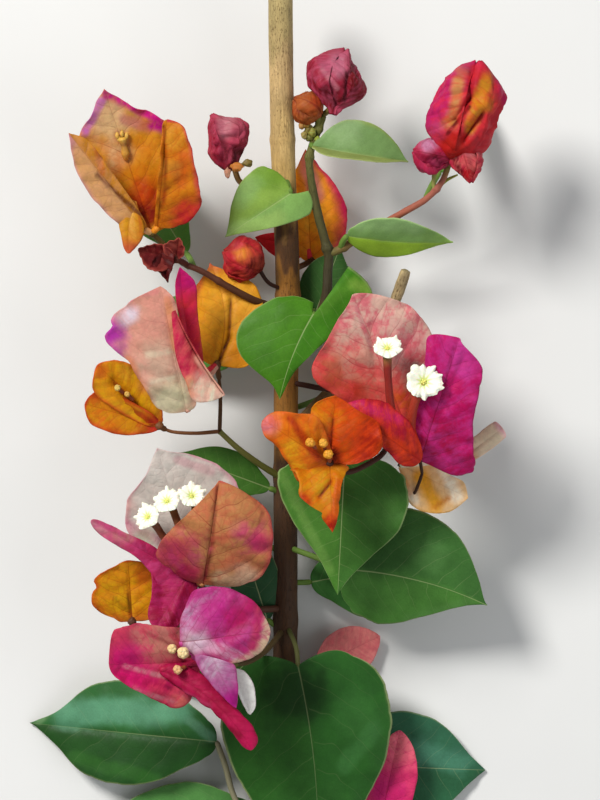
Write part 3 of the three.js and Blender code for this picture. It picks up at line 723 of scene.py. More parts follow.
def bark_material():
    m = Nodes("bark")
    speckle = m.attribute("tint", "Alpha")
    x, y, z = m.apart(m.attribute("vein"))
    fibres = m.together(x, y, z * 0.07)
    streak = m.spread(m.noise(fibres, 2.4, 5.0, 0.65), 0.82, 1.1)
    patch = m.spread(m.noise(m.together(x, y, z * 0.4), 0.35, 3.0), 0.84, 1.1)
    look = m.shaded(m.attribute("tint", "Color"), streak * patch * speckle + (1.0 - speckle))
    spots = m.cells(m.together(x, y, z * 0.55), 1.7, "F1")
    dots = m.under(spots, 0.1, 0.2) * m.range(m.noise(fibres, 0.6, 2.0), 0.45, 0.6)
    dark = m.shaded(look, (0.36, 0.3, 0.25))
    look = m.mix(dots * speckle * 0.8, look, dark)
    short = m.together(x, y, z * 0.3)
    worn = m.range(m.noise(short, 0.22, 2.0), 0.42, 0.6, 0.35, 1.0)
    cracks = m.under(m.noise(short, 3.2, 5.0, 0.7), 0.38, 0.45) * worn
    look = m.mix(cracks * speckle * 0.75, look, dark)
    height = (m.noise(fibres, 3.0, 6.0, 0.6) - (dots * 0.4 + cracks * 0.5)) * (speckle + 0.25)
    rough = m.range(streak, 0.75, 1.1, 0.55, 0.7)
    return m.finish(m.surface(look, rough, height, gloss=0.25, deep=0.0003, strength=0.6))


def soft_material():
    """Petals and beads of the small flowers."""
    m = Nodes("petal")
    grain = m.noise(m.attribute("vein"), 1.4, 3.0)
    look = m.shaded(m.attribute("tint", "Color"), m.spread(grain, 0.93, 1.03))
    rough = m.spread(grain, 0.5, 0.65)
    shader = m.surface(look, rough, grain, gloss=0.3, deep=0.00012, strength=0.5)
    shader.inputs["Subsurface Weight"].default_value = 0.15
    shader.inputs["Subsurface Scale"].default_value = 0.001
    return m.finish(shader)


def floor_material():
    m = Nodes("floor")
    place = m.out(m.new("ShaderNodeTexCoord"), "Object")
    shade = m.spread(m.noise(place, 9.0, 4.0), 0.965, 1.0)
    rough = m.range(shade, 0.96, 1.0, 0.7, 0.78)
    look = m.shaded((0.66, 0.66, 0.65), shade)
    return m.finish(m.new("ShaderNodeBsdfPrincipled", Base_Color=look, Roughness=rough))


MATERIALS = {
    "bract": bract_material(), "leaf": leaf_material(), "bark": bark_material(), "soft": soft_material(),
}


# Kinds of piece
TWIG = dict(corners=20, step=0.5, relief=0.08, speckle=0.5)
GREEN_STALK = "#5d7a30"
PITH = "#8a6c42"
CLAW = 0.9              # radius of the neck from a bloom's base to a bract that starts away from it
INTO = 1.1              # how far a stalk runs on into the twig that carries it
OPEN = {}               # the open blooms and their bases, for what stands on them later


def oval(width):
    """Half-widths of a plain leaf."""
    return [0.45 * width, 0.96 * width, 0.86 * width, 0.24 * width]


def into(path):
    path = [np.array(q, float) for q in path]
    return [*path, path[-1] + INTO * unit(path[-1] - path[-2])]


def cut_face(piece, end, inner, radius, tint):
    """Pale cut wood inside the ring of bark, with the pith in its middle."""
    end = np.array(end, float)
    out = unit(end - np.array(inner, float))
    for share, code, high, corners, speckle in ((0.84, tint, 0.1, 40, 0.3), (0.2, PITH, 0.22, 16, 0.2)):
        tube(piece, [end - out, end, end + out * high], share * radius, code, corners=corners, step=0.2,
             speckle=speckle)


def wood(name, slot, *limbs):
    piece = Piece()
    for limb in limbs:
        cut = limb.pop("cut", None)
        tube(piece, **{**TWIG, **limb})
        if cut:
            path, radii = limb["path"], limb["radii"]
            cut_face(piece, path[0], path[1], radii[0], cut)
            cut_face(piece, path[-1], path[-2], radii[-1], cut)
    piece.build(name + "_fine", slot, name)


def leaf(name, slot="leaf", *, base, stalk, petiole=GREEN_STALK, thin=STALK, **shape):
    piece = Piece()
    blade(piece, base, material="leaf", **shape)
    tube(piece, [base, *stalk], thin, petiole, corners=14, step=0.6, speckle=0.2)
    piece.build(name + "_fine", slot, name)


def bloom(name, slot, base, stalk, stem, *bracts, thin=STALK):
    """Bracts on one stalk. A bract without a base of its own starts at the bloom's base."""
    piece = Piece()
    for bract in bracts:
        claw = bract.pop("claw", "base" in bract)
        blade(piece, **{"base": base, **bract})
        if claw:
            tube(piece, [base, bract["base"]], CLAW, bract["tint"], "soft", corners=12, step=0.6)
    tube(piece, into([base, *stalk]), thin, stem, corners=14, step=0.6, speckle=0.3)
    ball(piece, base, 1.5 * thin, stem, rough=0.2, seed=4)
    piece.build(name + "_fine", slot, name)
    OPEN[name] = piece, np.array(base[:2])


def bud(name, slot, stalk, stem, *pods, thin=STALK, bits=()):
    """Closed blooms on one stalk. bits are small beads beside them: place, size along each axis, colour."""
    piece = Piece()
    for shape in pods:
        pod(piece, **shape)
    tube(piece, into(stalk), thin, stem, corners=14, step=0.6, speckle=0.3)
    for k, (place, size, tint) in enumerate(bits):
        ball(piece, place, 1.0, tint, squash=size, rough=0.35, seed=k + 60)
    piece.build(name + "_fine", slot, name)


# Wood
wood("stem", "bark",
    dict(
        path=[(-4, -135, 3.9), (-4, -66, 11.2), (-3.8, 0, 18), (-3.3, 30, 21), (-4.7, 70, 25.3),
            (-5.4, 114, 30)], radii=[3.7, 3.35, 3.25, 3.3, 3.3, 3.3],
        # Painted shade and shadow in the stem's colours: the dark brown from 0.15 to 0.45 is partly the lower
        # bark's own colour and partly painted shade, and the dark band from 0.697 to 0.725 is a painted
        # shadow cast by a leaf.
        tint=[(0, "#6c5436"), (0.15, "#4e341e"), (0.3, "#422a16"), (0.45, "#422914"), (0.475, "#7c5420"),
            (0.52, "#946426"), (0.6, "#8c5c22"), (0.66, "#86581e"), (0.685, "#80541c"), (0.697, "#4e3014"),
            (0.725, "#482c10"), (0.74, "#7c5a2a"), (0.755, "#a07c42"), (0.77, "#b08e50"), (0.84, "#b89a64"),
            (0.9, "#b6996a"), (0.94, "#a48f5e"), (1, "#a39262")], corners=72, step=0.6, relief=0.13,
        speckle=1, knots=[(164.5, 0.3, 1.3), (113, 0.3, 2), (75, 0.3, 2), (207, 0.22, 1.2), (61, 0.4, 2)],
        cut="#c4ae80", seed=11))
wood("shoot_right", "dark_bark",
    dict(
        path=[(-3, 13, 19), (4, 20, 23), (7, 28, 25), (7.5, 35, 25.5), (7.6, 40, 26), (5, 50, 27),
            (3, 60, 27.5), (2.6, 66, 27.5), (4.4, 72, 28), (6.4, 77, 28.6)],
        radii=[1.5, 1.4, 1.25, 1.05, 0.95],
        tint=[(0, "#4a3018"), (0.35, "#37301c"), (0.7, "#4c4a22"), (1, "#6c6a30")], corners=28, relief=0.14,
        speckle=0.75, knots=[(33, 0.4, 1.1), (58, 0.4, 1), (66, 0.5, 1)], seed=21))
wood("pruned_stub", "bark",
    dict(path=[(-3, -9, 17), (9, 3, 20), (20, 13, 24), (25.5, 26, 27.5), (28.6, 35, 30)], radii=[1.75, 1.4],
        tint=[(0, "#6a5030"), (0.5, "#8a7048"), (1, "#a8946c")], corners=40, step=0.35, relief=0.5,
        speckle=1.3, cut="#8c7c5c", seed=31))
wood("twig_upper_left", "dark_bark",
    dict(
        path=[(-3.5, 24, 21), (-8, 25.5, 26), (-13, 27.3, 30), (-20, 31, 32.5), (-26, 34.5, 33.3),
            (-30.8, 36.6, 33)], radii=[1.1, 0.95, 0.8], tint=[(0, "#54381c"), (1, "#4a2014")], corners=24,
        relief=0.1, speckle=0.6, knots=[(24, 0.2, 0.8)], seed=41))
wood("twig_left", "green_twig",
    dict(path=[(-3.8, -22, 16), (-11, -17.5, 21), (-17, -13, 25), (-21.8, -8.5, 28)], radii=[1, 0.7],
        tint=[(0, "#6a6828"), (1, "#76753a")], corners=22, speckle=0.4, knots=[(26, 0.35, 0.8)], seed=51),
    dict(path=[(-21.8, -8.5, 28), (-21.6, -2, 29), (-21.6, 2, 29.5), (-22, 6, 30)], radii=[0.55, 0.5],
        tint="#54381e", corners=18, relief=0.06, seed=52),
    dict(path=[(-21.8, -8.5, 28), (-28, -9, 29), (-34, -8.7, 30), (-36.8, -7.8, 31)], radii=[0.55, 0.45],
        tint="#744828", corners=18, relief=0.06, seed=53))
wood("twig_upper_right", "dark_bark",
    dict(
        path=[(7.5, 39.5, 26), (11, 41, 26), (16, 44, 26.5), (22, 47.5, 28.5), (28, 50.8, 31),
            (34, 54.3, 33), (38, 58.5, 35), (40, 63, 37)], radii=[1.1, 0.8],
        tint=[(0, "#5c5a2a"), (0.25, "#7a5230"), (0.5, "#94503c"), (0.9, "#985848"), (1, "#7a7030")],
        corners=24, speckle=0.35, knots=[(35.5, 0.3, 0.9), (5, 0.3, 1)], seed=61),
    dict(path=[(36.4, 56.6, 34.3), (36, 59, 35), (36.6, 62.5, 36)], radii=[0.6, 0.5, 0.9], tint="#8a8a48",
        corners=14, step=0.4, relief=0.06, speckle=0.3, seed=62),
    dict(path=[(37.6, 57.9, 34.8), (40, 59.6, 35.2), (42.6, 60.8, 35.4)], radii=[0.6, 0.45, 0.3],
        tint="#80802c", corners=14, step=0.4, relief=0.06, speckle=0.3, seed=63))
wood("twig_lower_left", "dark_bark",
    dict(path=[(-4, -62, 12), (-9, -68, 21), (-13.5, -70.8, 28), (-17.5, -71.4, 34)], radii=[0.9, 0.7],
        tint="#4a3a1e", seed=71))
wood("twig_middle_left", "dark_bark",
    dict(path=[(-4, -57, 12.5), (-14, -57, 20), (-21, -54.5, 27), (-25.5, -51.5, 32.5)], radii=[0.95, 0.8],
        tint="#4a2c1c", seed=81),
    dict(path=[(-21, -54.5, 27), (-31, -60.5, 26), (-40, -63.5, 26), (-45, -62.2, 27)], radii=[0.6, 0.5],
        tint="#54301e", corners=18, relief=0.06, seed=82))
wood("twig_right", "dark_bark",
    dict(
        path=[(-4, -34, 14.8), (10, -31, 21), (20, -28.5, 25.5), (27, -27, 29), (30.5, -25.7, 32),
            (32, -22.7, 34.5), (32.9, -20, 36.5)], radii=[1.05, 1, 0.9, 0.75, 0.5, 0.45, 0.45],
        tint=[(0, "#3c2a18"), (1, "#3a2012")], corners=22, relief=0.1, seed=91))

# Leaves
leaf("leaf_heart_upper", "leaf_pale", base=(-2.5, 56, 29.2), stalk=[(-3.4, 58.5, 27.6), (-4.2, 61, 25)],
    tip=(-20.3, 44.2, 30), left=[7, 7.4, 6.5, 4.8, 3, 1.3, 0.5], right=[9, 10.8, 10.8, 9.8, 6.8, 3, 0.8],
    lobe=(4.5, 1), bow=1, curl=(-8, -12), gap=4.5, foot=2, veins=0.6, tint="#73903a",
    paint=[half("#70944c", -1), line("#82a054", -20, 45, -6, 49, 3), spot("#64862a", -8, 61, 5),
        spot("#789c58", -15, 57, 5, 0.6)])
leaf("leaf_top_right", "leaf_pale", base=(3.5, 68.7, 30.2), stalk=[(3.2, 69, 29), (3, 69.2, 27.8)],
    tip=(29.3, 64.5, 31), left=[2.6, 6.4, 8.9, 9.3, 7.8, 4.6, 1.3],
    right=[3.2, 6.9, 8.5, 7.2, 5.2, 2.6, 0.8], fold=(0, 75), sway=0.4, bow=1.5, ripple=0.05, crumple=0.2,
    veins=0.5, tint="#66844c",
    paint=[half("#889450", 1), rim("#808e40", 0.15, -1, 0.6), spot("#7a9464", 12, 74, 6, 0.7)])
leaf("leaf_right_slim", "leaf_pale", base=(12.8, 44.6, 29.5), stalk=[(11.6, 43, 28), (11, 41.2, 26.2)],
    tip=(41.5, 42.8, 29), left=[4, 7, 9.2, 9.3, 7, 3.6, 1], right=[3.4, 5.8, 7.2, 6, 3.8, 1.6, 0.5],
    # The pale grey-green of the upper half (the tint, and the paler stripe #88ac6c) is partly the leaf's own
    # green and partly a painted sheen.
    roll=50, bow=1, ripple=0.05, crumple=0.25, veins=0.5, tint="#7aa258",
    paint=[half("#8cb034", 1), line("#88ac6c", 17, 48, 32, 48, 3), near_tip("#7c9c44", 0.3)])
leaf("leaf_heart_centre", base=(3.5, 23, 42), stalk=[(3.6, 24, 36), (1.5, 23, 28), (-3, 21, 20)],
    tip=(-5.5, 0.3, 42), left=[12, 11.2, 8.4, 5, 2.2, 1, 0.5], right=[9, 12.3, 15.1, 16.3, 13.3, 3.8, 0.9],
    lobe=(17, 3), bow=2, curl=(-12, -15), sway=1, gap=4.6, foot=1.5, tint="#3c6c12",
    paint=[half("#366a10", -1), spot("#42701c", -12, 20, 5, 0.6), spot("#38661a", -10, 12, 6, 0.5),
        line("#76983a", 14, 31, 20, 30, 2, 0.7), line("#4e7c24", 5, 24, 12, 30, 2.5, 0.6)])
leaf("leaf_dark_centre", base=(12, -18, 35), stalk=[(8.5, -15.5, 31), (3, -12.5, 24), (-3.6, -10, 17)],
    tip=(10.2, -52.7, 32), left=[14.8, 17, 17.8, 15.2, 8.5, 3.3, 0.9],
    right=[16, 17.9, 16.3, 12, 6.4, 2.9, 1.1], lobe=3, curl=8, bow=0.5, foot=2, tint="#3f6c24",
    # The dark green spot at (6, -22) is a painted shadow.
    paint=[half("#345e22", -1), line("#5a8038", -5, -20, 8, -46, 1.6, 0.7), spot("#26420e", 6, -22, 9, 0.7),
        spot("#4a7834", 22, -30, 6, 0.6), spot("#2c5218", 14, -40, 7, 0.5)])
leaf("leaf_dark_right", base=(12, -46, 26), stalk=[(6, -43.5, 22), (-3.9, -40, 14.2)],
    tip=(50.9, -55.8, 23), left=[10, 15.6, 18.4, 17.8, 13.9, 7, 1.6], right=[12, 15, 16.6, 14, 9, 3.5, 0.8],
    lobe=(0, 1), fold=(0, -32), bow=0.5, sway=-2, ripple=0.08, tint="#355f28",
    paint=[half("#44742f", 1), spot("#24481a", 22, -40, 9, 0.6), line("#507e3c", 30, -60, 46, -55, 2, 0.6),
        spot("#4d7a3e", 36, -42, 5, 0.6)])
leaf("leaf_lower_left", base=(-22.8, -93.5, 14),
    stalk=[(-20.5, -100, 12), (-18, -109, 9), (-12, -119, 6.5), (-4.5, -126, 5)], petiole="#8a8468",
    tip=(-74.4, -89, 1.4), left=[4.5, 8, 12.5, 14.2, 12, 5, 1.2],
    right=[5.6, 9.6, 13.8, 14.6, 11.6, 4.1, 1.3], bow=2, veins=0.5,
    folds=[(-68, -89.5, -26, -93, 1.2, -0.5)], tint="#2b5c2c",
    # The pale blue-green stripes on the upper half (#548a6a, #6c8a60, #5b8a6c) are a painted sheen; the
    # darker green of the lower half is partly the leaf's own colour and partly painted shade.
    paint=[half("#1a4214", -1), line("#548a6a", -64, -86, -34, -85, 4.6, 0.85),
        line("#6c8a60", -60, -78, -72, -88, 1.4, 0.5), line("#2c5c20", -62, -98, -40, -104, 2.2, 0.6),
        line("#5b8a6c", -30, -88, -24, -92, 1.6, 0.6), spot("#14360f", -36, -96, 8, 0.6)])
leaf("leaf_lower_large", base=(-0.5, -72.5, 22), stalk=[(-1.2, -67, 19.5), (-4, -61, 12)],
    # The petiole's dark olive is partly its own colour and partly painted shade.
    petiole="#4c4e26", thin=0.65, tip=(4.6, -129.5, 9), left=[15, 21.6, 22.6, 19.2, 12.3, 6.1, 1.4],
    right=[14.5, 21, 24, 21.9, 16.2, 8.1, 1.6], lobe=(4.5, 8.5), cleft=0.8, bow=3, sway=-2, curl=-10,
    foot=2.5, veins=0.45, tint="#234e18",
    # The near-black green spot at (-2, -79) is a painted shadow.
    paint=[half("#22501a", -1), spot("#2f6024", 2, -120, 18, 0.7), spot("#102c0a", -2, -79, 11, 0.8),
        spot("#306028", 15, -86, 7, 0.5), line("#386a34", 12, -100, 20, -90, 3, 0.5),
        rim("#6c7c4c", 0.03, 0, 0.9)])
leaf("leaf_bottom_left", base=(-12, -114, 5.5), stalk=[(-8, -111, 5.6), (-4, -107, 6.8)],
    tip=(-59, -123, 1.8), left=oval(12), right=oval(13), lobe=1, bow=2, tint="#4f8038",
    paint=[half("#47783a", 1)])
leaf("leaf_bottom_right", base=(9, -100, 4.5), stalk=[(3, -97, 6), (-4, -93, 8.4)], tip=(51, -102, 1.3),
    left=oval(15.5), lobe=1, bow=2, tint="#265638",
    paint=[half("#2c5c42", -1), line("#4a8068", 20, -94, 44, -100, 4, 0.5)])
leaf("leaf_behind_left", base=(-8.5, -24, 18), stalk=[(-6, -25, 16.5), (-3.9, -26, 15.4)],
    tip=(-34, -14.5, 22), left=oval(6.5), bow=1, tint="#3f6a26")
# Its very dark green is partly the leaf's own colour and partly painted shade, as it lies in shadow behind
# the blooms.
leaf("leaf_behind_lower_left", base=(-9, -60, 13), stalk=[(-6, -62.5, 12), (-4, -65, 11.4)],
    tip=(-17.5, -33, 17), left=oval(7), bow=1, tint="#24482a")
leaf("leaf_behind_shoot", base=(3.5, 22, 15), stalk=[(0, 18, 17), (-3.6, 14, 19)], tip=(11, 42, 15),
    left=oval(7), bow=1, tint="#2f5222")
leaf("leaf_back_1", base=(-31, 40, 26), stalk=[(-29.8, 38.3, 29), (-28.7, 36, 32.6)], tip=(-50, 70, 0.85),
    left=oval(8.5), bow=2, tint="#48782e")
leaf("leaf_back_2", base=(38, 62, 26), stalk=[(35.6, 58, 29), (34, 54.6, 32.2)], tip=(47.5, 86, 0.85),
    left=oval(6), bow=2, tint="#4d7c32")
leaf("leaf_back_3", base=(7, 1, 12), stalk=[(2, -1, 14.5), (-3.8, -3, 17.6)], tip=(44, 12, 3),
    left=oval(13.5), bow=2, tint="#3a6b28")
leaf("leaf_back_4", base=(-10, 18, 15), stalk=[(-7, 18, 17), (-3.6, 18, 19.8)], tip=(-47, 19, 4),
    left=oval(11.5), bow=2, tint="#41722c")
leaf("leaf_back_5", base=(-9, -40, 11), stalk=[(-6, -41, 12.5), (-3.9, -42, 13.8)], tip=(-45, -34, 2),
    left=oval(13), bow=2, tint="#386828")
leaf("leaf_back_6", base=(-10, -71, 7), stalk=[(-7, -71.5, 9), (-4, -72, 10.6)], tip=(-47, -69, 2),
    left=oval(10.5), bow=1, tint="#3e702c")
leaf("leaf_back_7", base=(3, -50, 8), stalk=[(0, -50, 10.5), (-3.9, -50, 13)], tip=(40, -43, 2),
    left=oval(13), bow=2, tint="#34642a")

# Blooms
bloom("bloom_top_left", "bract_orange", (-40, 45, 36),
    [(-37.4, 42.5, 34), (-34.5, 39, 32), (-30.6, 36.4, 31.6)], "#5a4a1c",
    dict(tip=(-52.5, 83.3, 46), left=[4, 8.4, 11.3, 13.4, 12.4, 6.5, 2.2],
        right=[9, 14.2, 16.6, 16.6, 12.8, 5.2, 1.5], curl=12, bow=-3, crumple=0.6, veins=0.6,
        folds=[(-41.5, 64, -41, 55, 4.5, 1.6), (-54.8, 60.6, -43, 49.5, 1.2, -1.2),
            (-39, 74, -36.5, 60, 1.5, 0.8)], tint="#d08c1c",
        bleed=(0.4, "#d06a08", spot("#d8a07c", -53, 77, 9)),
        paint=[spot("#d8b480", -51.5, 76, 8), spot("#d4ac7c", -48.5, 66, 5, 0.85),
            spot("#cc7c08", -43, 60, 7, 0.8), line("#c468b4", -58, 72, -53.5, 80, 1.5, 0.9),
            line("#c4147c", -51.8, 82.2, -38, 75.6, 1.6), line("#bc5c6c", -47, 75.6, -41, 73.5, 1.8, 0.6),
            # Painted shade: the red-brown spot at (-42.5, 54.5), the dark red spot at (-41.2, 49.8) and the
            # dark line from (-47, 53.5) are the hollow where the bracts curve.
            line("#c01084", -39.5, 74, -36.5, 73.5, 1.7), spot("#b42c06", -42.5, 54.5, 6, 0.9),
            spot("#84100c", -41.2, 49.8, 3.6, 0.95), line("#8c1c08", -47, 53.5, -41, 48.5, 1.4, 0.9)]),
    dict(base=(-41.9, 46, 37.6), tip=(-61.8, 71.3, 51), left=[2.2, 4.3, 5.4, 5.8, 4.9, 2.9, 1],
        right=[1.4, 2, 2.4, 2.6, 2.9, 3, 1.2], curl=10, crumple=0.4, tint="#d8a468", bleed=(0.3, "#d8a07c"),
        paint=[near_tip("#cc8c94", 0.2), rim("#d4949c", 0.2, -1, 0.7), half("#cc8824", 1),
            line("#c8682c", -54.5, 70, -53, 61, 1.2, 0.7), near_base("#c07c20", 0.25),
            line("#5a1c08", -54.5, 60.5, -43, 50, 0.7, 0.8)]),
    dict(base=(-38.3, 46.6, 37.6), tip=(-35.6, 75, 50), left=[1, 1, 1, 1, 1, 1, 1],
        right=[5.6, 9, 11.2, 10.2, 8.4, 6.6, 4.6], curl=(0, 15), bow=3, crumple=0.5, sharp=0, veins=0.7,
        folds=[(-36.6, 73, -36, 57, 0.7, -0.9), (-31, 66, -31.5, 59, 2.5, -0.8),
            (-31.5, 59, -36, 55.5, 1, -0.8)], tint="#cc7c14", bleed=(0.4, "#d05b03"),
        paint=[spot("#d08c24", -33, 71, 5), rim("#bc2048", 0.18, 1, 0.85),
            line("#c0501c", -31, 65, -32, 59, 2.4, 0.6), spot("#c88830", -34, 62, 3, 0.6),
            spot("#b81c28", -30.5, 49.5, 5.5, 0.95), line("#6a2008", -36.3, 73, -35.8, 57, 0.5, 0.8),
            line("#7a2408", -35.8, 57, -37.3, 52, 0.6, 0.9)]),
    dict(base=(-44.6, 53.6, 39), tip=(-46, 39.6, 42), left=[1, 2, 3.2, 4, 3.9, 2.6, 1],
        right=[2.2, 3.4, 3.4, 2.6, 1.8, 1.4, 0.8], hook=-1, sway=0.8, curl=-12, sharp=0, claw=False,
        crumple=0.6, veins=0.4, tint="#cc901c", bleed=(0.4, "#c86c20"),
        paint=[near_tip("#bc4034", 0.36), near_base("#cc8c34", 0.25),
            line("#d4a040", -45.4, 50, -44.6, 44, 1, 0.7), line("#a84410", -43.4, 52, -42.6, 44, 0.7, 0.6)]))
bloom("bloom_young_left", "bract_red", (-33.5, 38, 36), [(-32, 37.4, 35), (-31, 36.8, 33.6)], "#4a1c12",
    dict(tip=(-43.6, 40.6, 38), left=[2.6, 5.2, 4.4, 1.8], right=[2.4, 3.4, 3, 1.4], curl=45, crumple=1.1,
        relief=0.5, sharp=0.4, veins=1, tint="#641418", bleed=(0.6, "#964037"),
        paint=[rim("#a54b40", 0.25)]),
    dict(tip=(-32.6, 43.6, 39), left=[2.6, 4, 4, 2.2], right=[1.6, 2.4, 2.4, 1.4], curl=45, crumple=1.1,
        relief=0.5, sharp=0.4, veins=1, tint="#6a181c", bleed=(0.6, "#9e493b"),
        paint=[rim("#a54b40", 0.25)]),
    dict(base=(-37.5, 39.5, 37), tip=(-35.6, 31.6, 37), left=[3.6, 3.2, 2, 0.7], right=[3.2, 3, 1.8, 0.6],
        curl=35, crumple=0.8, relief=0.4, claw=False, veins=1, tint="#4c0e10", bleed=(0.5, "#7c2c28")))
bloom("bloom_behind_stem", "bract_orange", (3, 38, 12), [(0, 36.5, 14), (-3.4, 35, 21.5)], "#5a3418",
    dict(tip=(1.5, 68.5, 16), left=[3, 5.2, 6, 6, 5.1, 2.5, 0.8], right=[4.8, 8.7, 10.4, 10.4, 7.2, 3.4, 1],
        curl=8, veins=0.6, tint="#f4a020", bleed=(0.3, "#e76026"),
        paint=[rim("#e02860", 0.4, 1), line("#f09c8c", 1.6, 66, 4.4, 56, 2.4, 0.9),
            spot("#fcc034", 4, 49, 5, 0.8)]),
    dict(base=(2, 42, 11.5), tip=(-12.3, 44.5, 13), left=[3.5, 5, 3.6, 1.2], right=[2.2, 2.6, 2.2, 1],
        veins=1, tint="#df2b36", paint=[near_tip("#c91a23", 0.4)]))
bloom("bloom_peach_left", "bract_peach", (-22.5, 9.5, 32), [(-22.3, 8, 31.2), (-22.05, 6.6, 30.3)],
    "#5a3a1e",
    dict(tip=(-24.5, 37.2, 27), left=[5.7, 8.8, 11.2, 12.1, 11.1, 5.5, 1.3],
        right=[8.6, 9.2, 10.3, 10.8, 9.2, 4, 0.8], sway=3, lobe=(0.6, -0.5), curl=(8, -10), bow=0.5,
        crumple=0.6, veins=0.55, folds=[(-18.7, 28, -19.2, 17, 0.7, -1), (-19.2, 17, -22, 10, 0.8, -1.2)],
        tint="#e0a020", bleed=(0.3, "#e88c18"),
        paint=[spot("#ecb038", -17, 26, 7, 0.8), near_tip("#d05c4c", 0.16),
            line("#cc5034", -30, 26, -28, 33, 2.2, 0.8), spot("#d07c20", -17, 12, 4, 0.6),
            line("#5a1c08", -18.7, 27, -19.2, 17, 0.6, 0.9), line("#481004", -19.2, 17, -22, 10, 0.8, 1)]),
    dict(base=(-27.5, 6, 37), tip=(-32.2, 35.6, 46), left=[1.2, 1.4, 1.5, 1.5, 1.8, 1.6, 0.8],
        right=[1.8, 2.6, 3.2, 3.4, 3.8, 3.9, 1.8], sway=-0.8, tint="#c82c3c", bleed=(0.5, "#c11650"),
        paint=[fade("#bc1270", -30.5, 25, -32, 33), line("#c8502c", -25.5, 12, -26.5, 24, 1.4, 0.8),
            near_base("#981c08", 0.3)]),
    dict(base=(-30.5, -3, 43), tip=(-37.3, 30.4, 50), left=[6.4, 8.6, 10.3, 12.7, 17, 14.3, 8],
        right=[3, 2.2, 1.6, 1.6, 2.5, 3.2, 1.8], curl=(10, 0), bow=3, crumple=0.7,
        notches=[(-1, 0.78, 0.03, 0.09), (-1, 0.9, 0.025, 0.12)], veins=0.25,
        folds=[(-31, 2, -40, 5, 1.6, 0.7), (-32, 8, -42, 11, 1.6, 0.6), (-33, 14, -42, 16, 1.5, 0.6),
            (-47, 24, -46, 14, 2.5, -1.4), (-34, 20, -41, 22, 1.5, 0.6)], tint="#cc9480",
        bleed=(0.28, "#e79289", spot("#e7d6bc", -36, 2, 9)),
        paint=[spot("#c038ac", -51.5, 17, 5.6), line("#c444ac", -44, 28.8, -48.8, 25.5, 1.3, 0.95),
            spot("#d0c4d0", -46, 22.5, 3.2, 0.95), line("#bc44a4", -50.5, 14, -46.5, 9, 1.2, 0.7),
            spot("#d0c8a4", -34.5, 0, 7.5), spot("#d0b098", -38, 10, 6, 0.8),
            line("#cc7c50", -46, 10, -41, 0, 1.8, 0.7), line("#c87078", -38.5, 29, -43, 28.5, 1.2, 0.5),
            line("#cc8450", -35.5, 27, -33.5, 14, 1.2, 0.7), line("#dcd4b8", -40, 5, -34, 6, 0.8, 0.6),
            line("#dcd0b4", -41, 12, -35, 13, 0.8, 0.6)]),
    dict(base=(-33.6, 23.8, 54), tip=(-20.2, 1.3, 48.5), left=[0.4, 0.4, 0.4, 0.4, 0.4, 0.4, 0.4],
        right=[1.2, 2.2, 4, 5.6, 6.4, 7.4, 4.6], sway=0.9, sharp=0.4, crumple=0.4, claw=False, veins=0.3,
        tint="#b42840", bleed=(0.4, "#e77269"),
        paint=[line("#c41c4c", -33.8, 22, -31, 8, 1.6), line("#bc2048", -31.5, 9, -29.3, 3.5, 1.2),
            line("#7c101c", -30.6, 18, -27.4, 9, 0.8, 0.9),
            line("#d88c58", -29.5, 5, -28.6, -0.5, 1.6, 0.95), spot("#e0d6bc", -24.6, 2.6, 5.4),
            line("#e0d8c0", -28.5, -1, -21.5, 1, 1.8), line("#dcb89c", -27.5, 11, -21.5, 3.4, 1, 0.8)]))
bloom("bloom_small_left", "bract_orange", (-38, -7, 32), [(-37.6, -7.3, 31.6), (-37.1, -7.6, 31.15)],
    "#6a4020",
    dict(tip=(-54.5, 9.5, 38), left=[1.6, 3, 4.2, 5.2, 6, 5.6, 3], right=[2.4, 4, 5.2, 6.4, 7, 5.6, 2.6],
        curl=15, sharp=0.2, crumple=0.7, folds=[(-50, 5, -41, -5, 1.3, -1.6)], tint="#dca410",
        bleed=(0.4, "#d06615"),
        paint=[spot("#cc6018", -54, 8, 3.5, 0.8), rim("#cc4c20", 0.22, 0, 0.85), near_base("#942a06", 0.25),
            line("#741808", -50, 4.5, -40, -6.5, 0.9, 0.9), spot("#e0b028", -47, 7.5, 3, 0.8),
            spot("#d08454", -41.5, 4, 2.6, 0.8)]),
    dict(tip=(-58, -1, 36), left=[2, 3.2, 4.6, 5.6, 5.6, 4.8, 2.4], right=[1.8, 2.8, 3.6, 4.6, 5.2, 5, 3],
        curl=15, sharp=0.2, crumple=0.7, tint="#cc880c", bleed=(0.5, "#cd4b11"),
        paint=[rim("#c44018", 0.34, 0, 0.9), near_base("#8a2406", 0.35), spot("#bc3c0e", -56, 2, 3, 0.8),
            line("#8c2806", -39, -6.4, -48, -1, 0.8, 0.8), spot("#c82828", -39.5, -7, 2.4, 0.8)]))
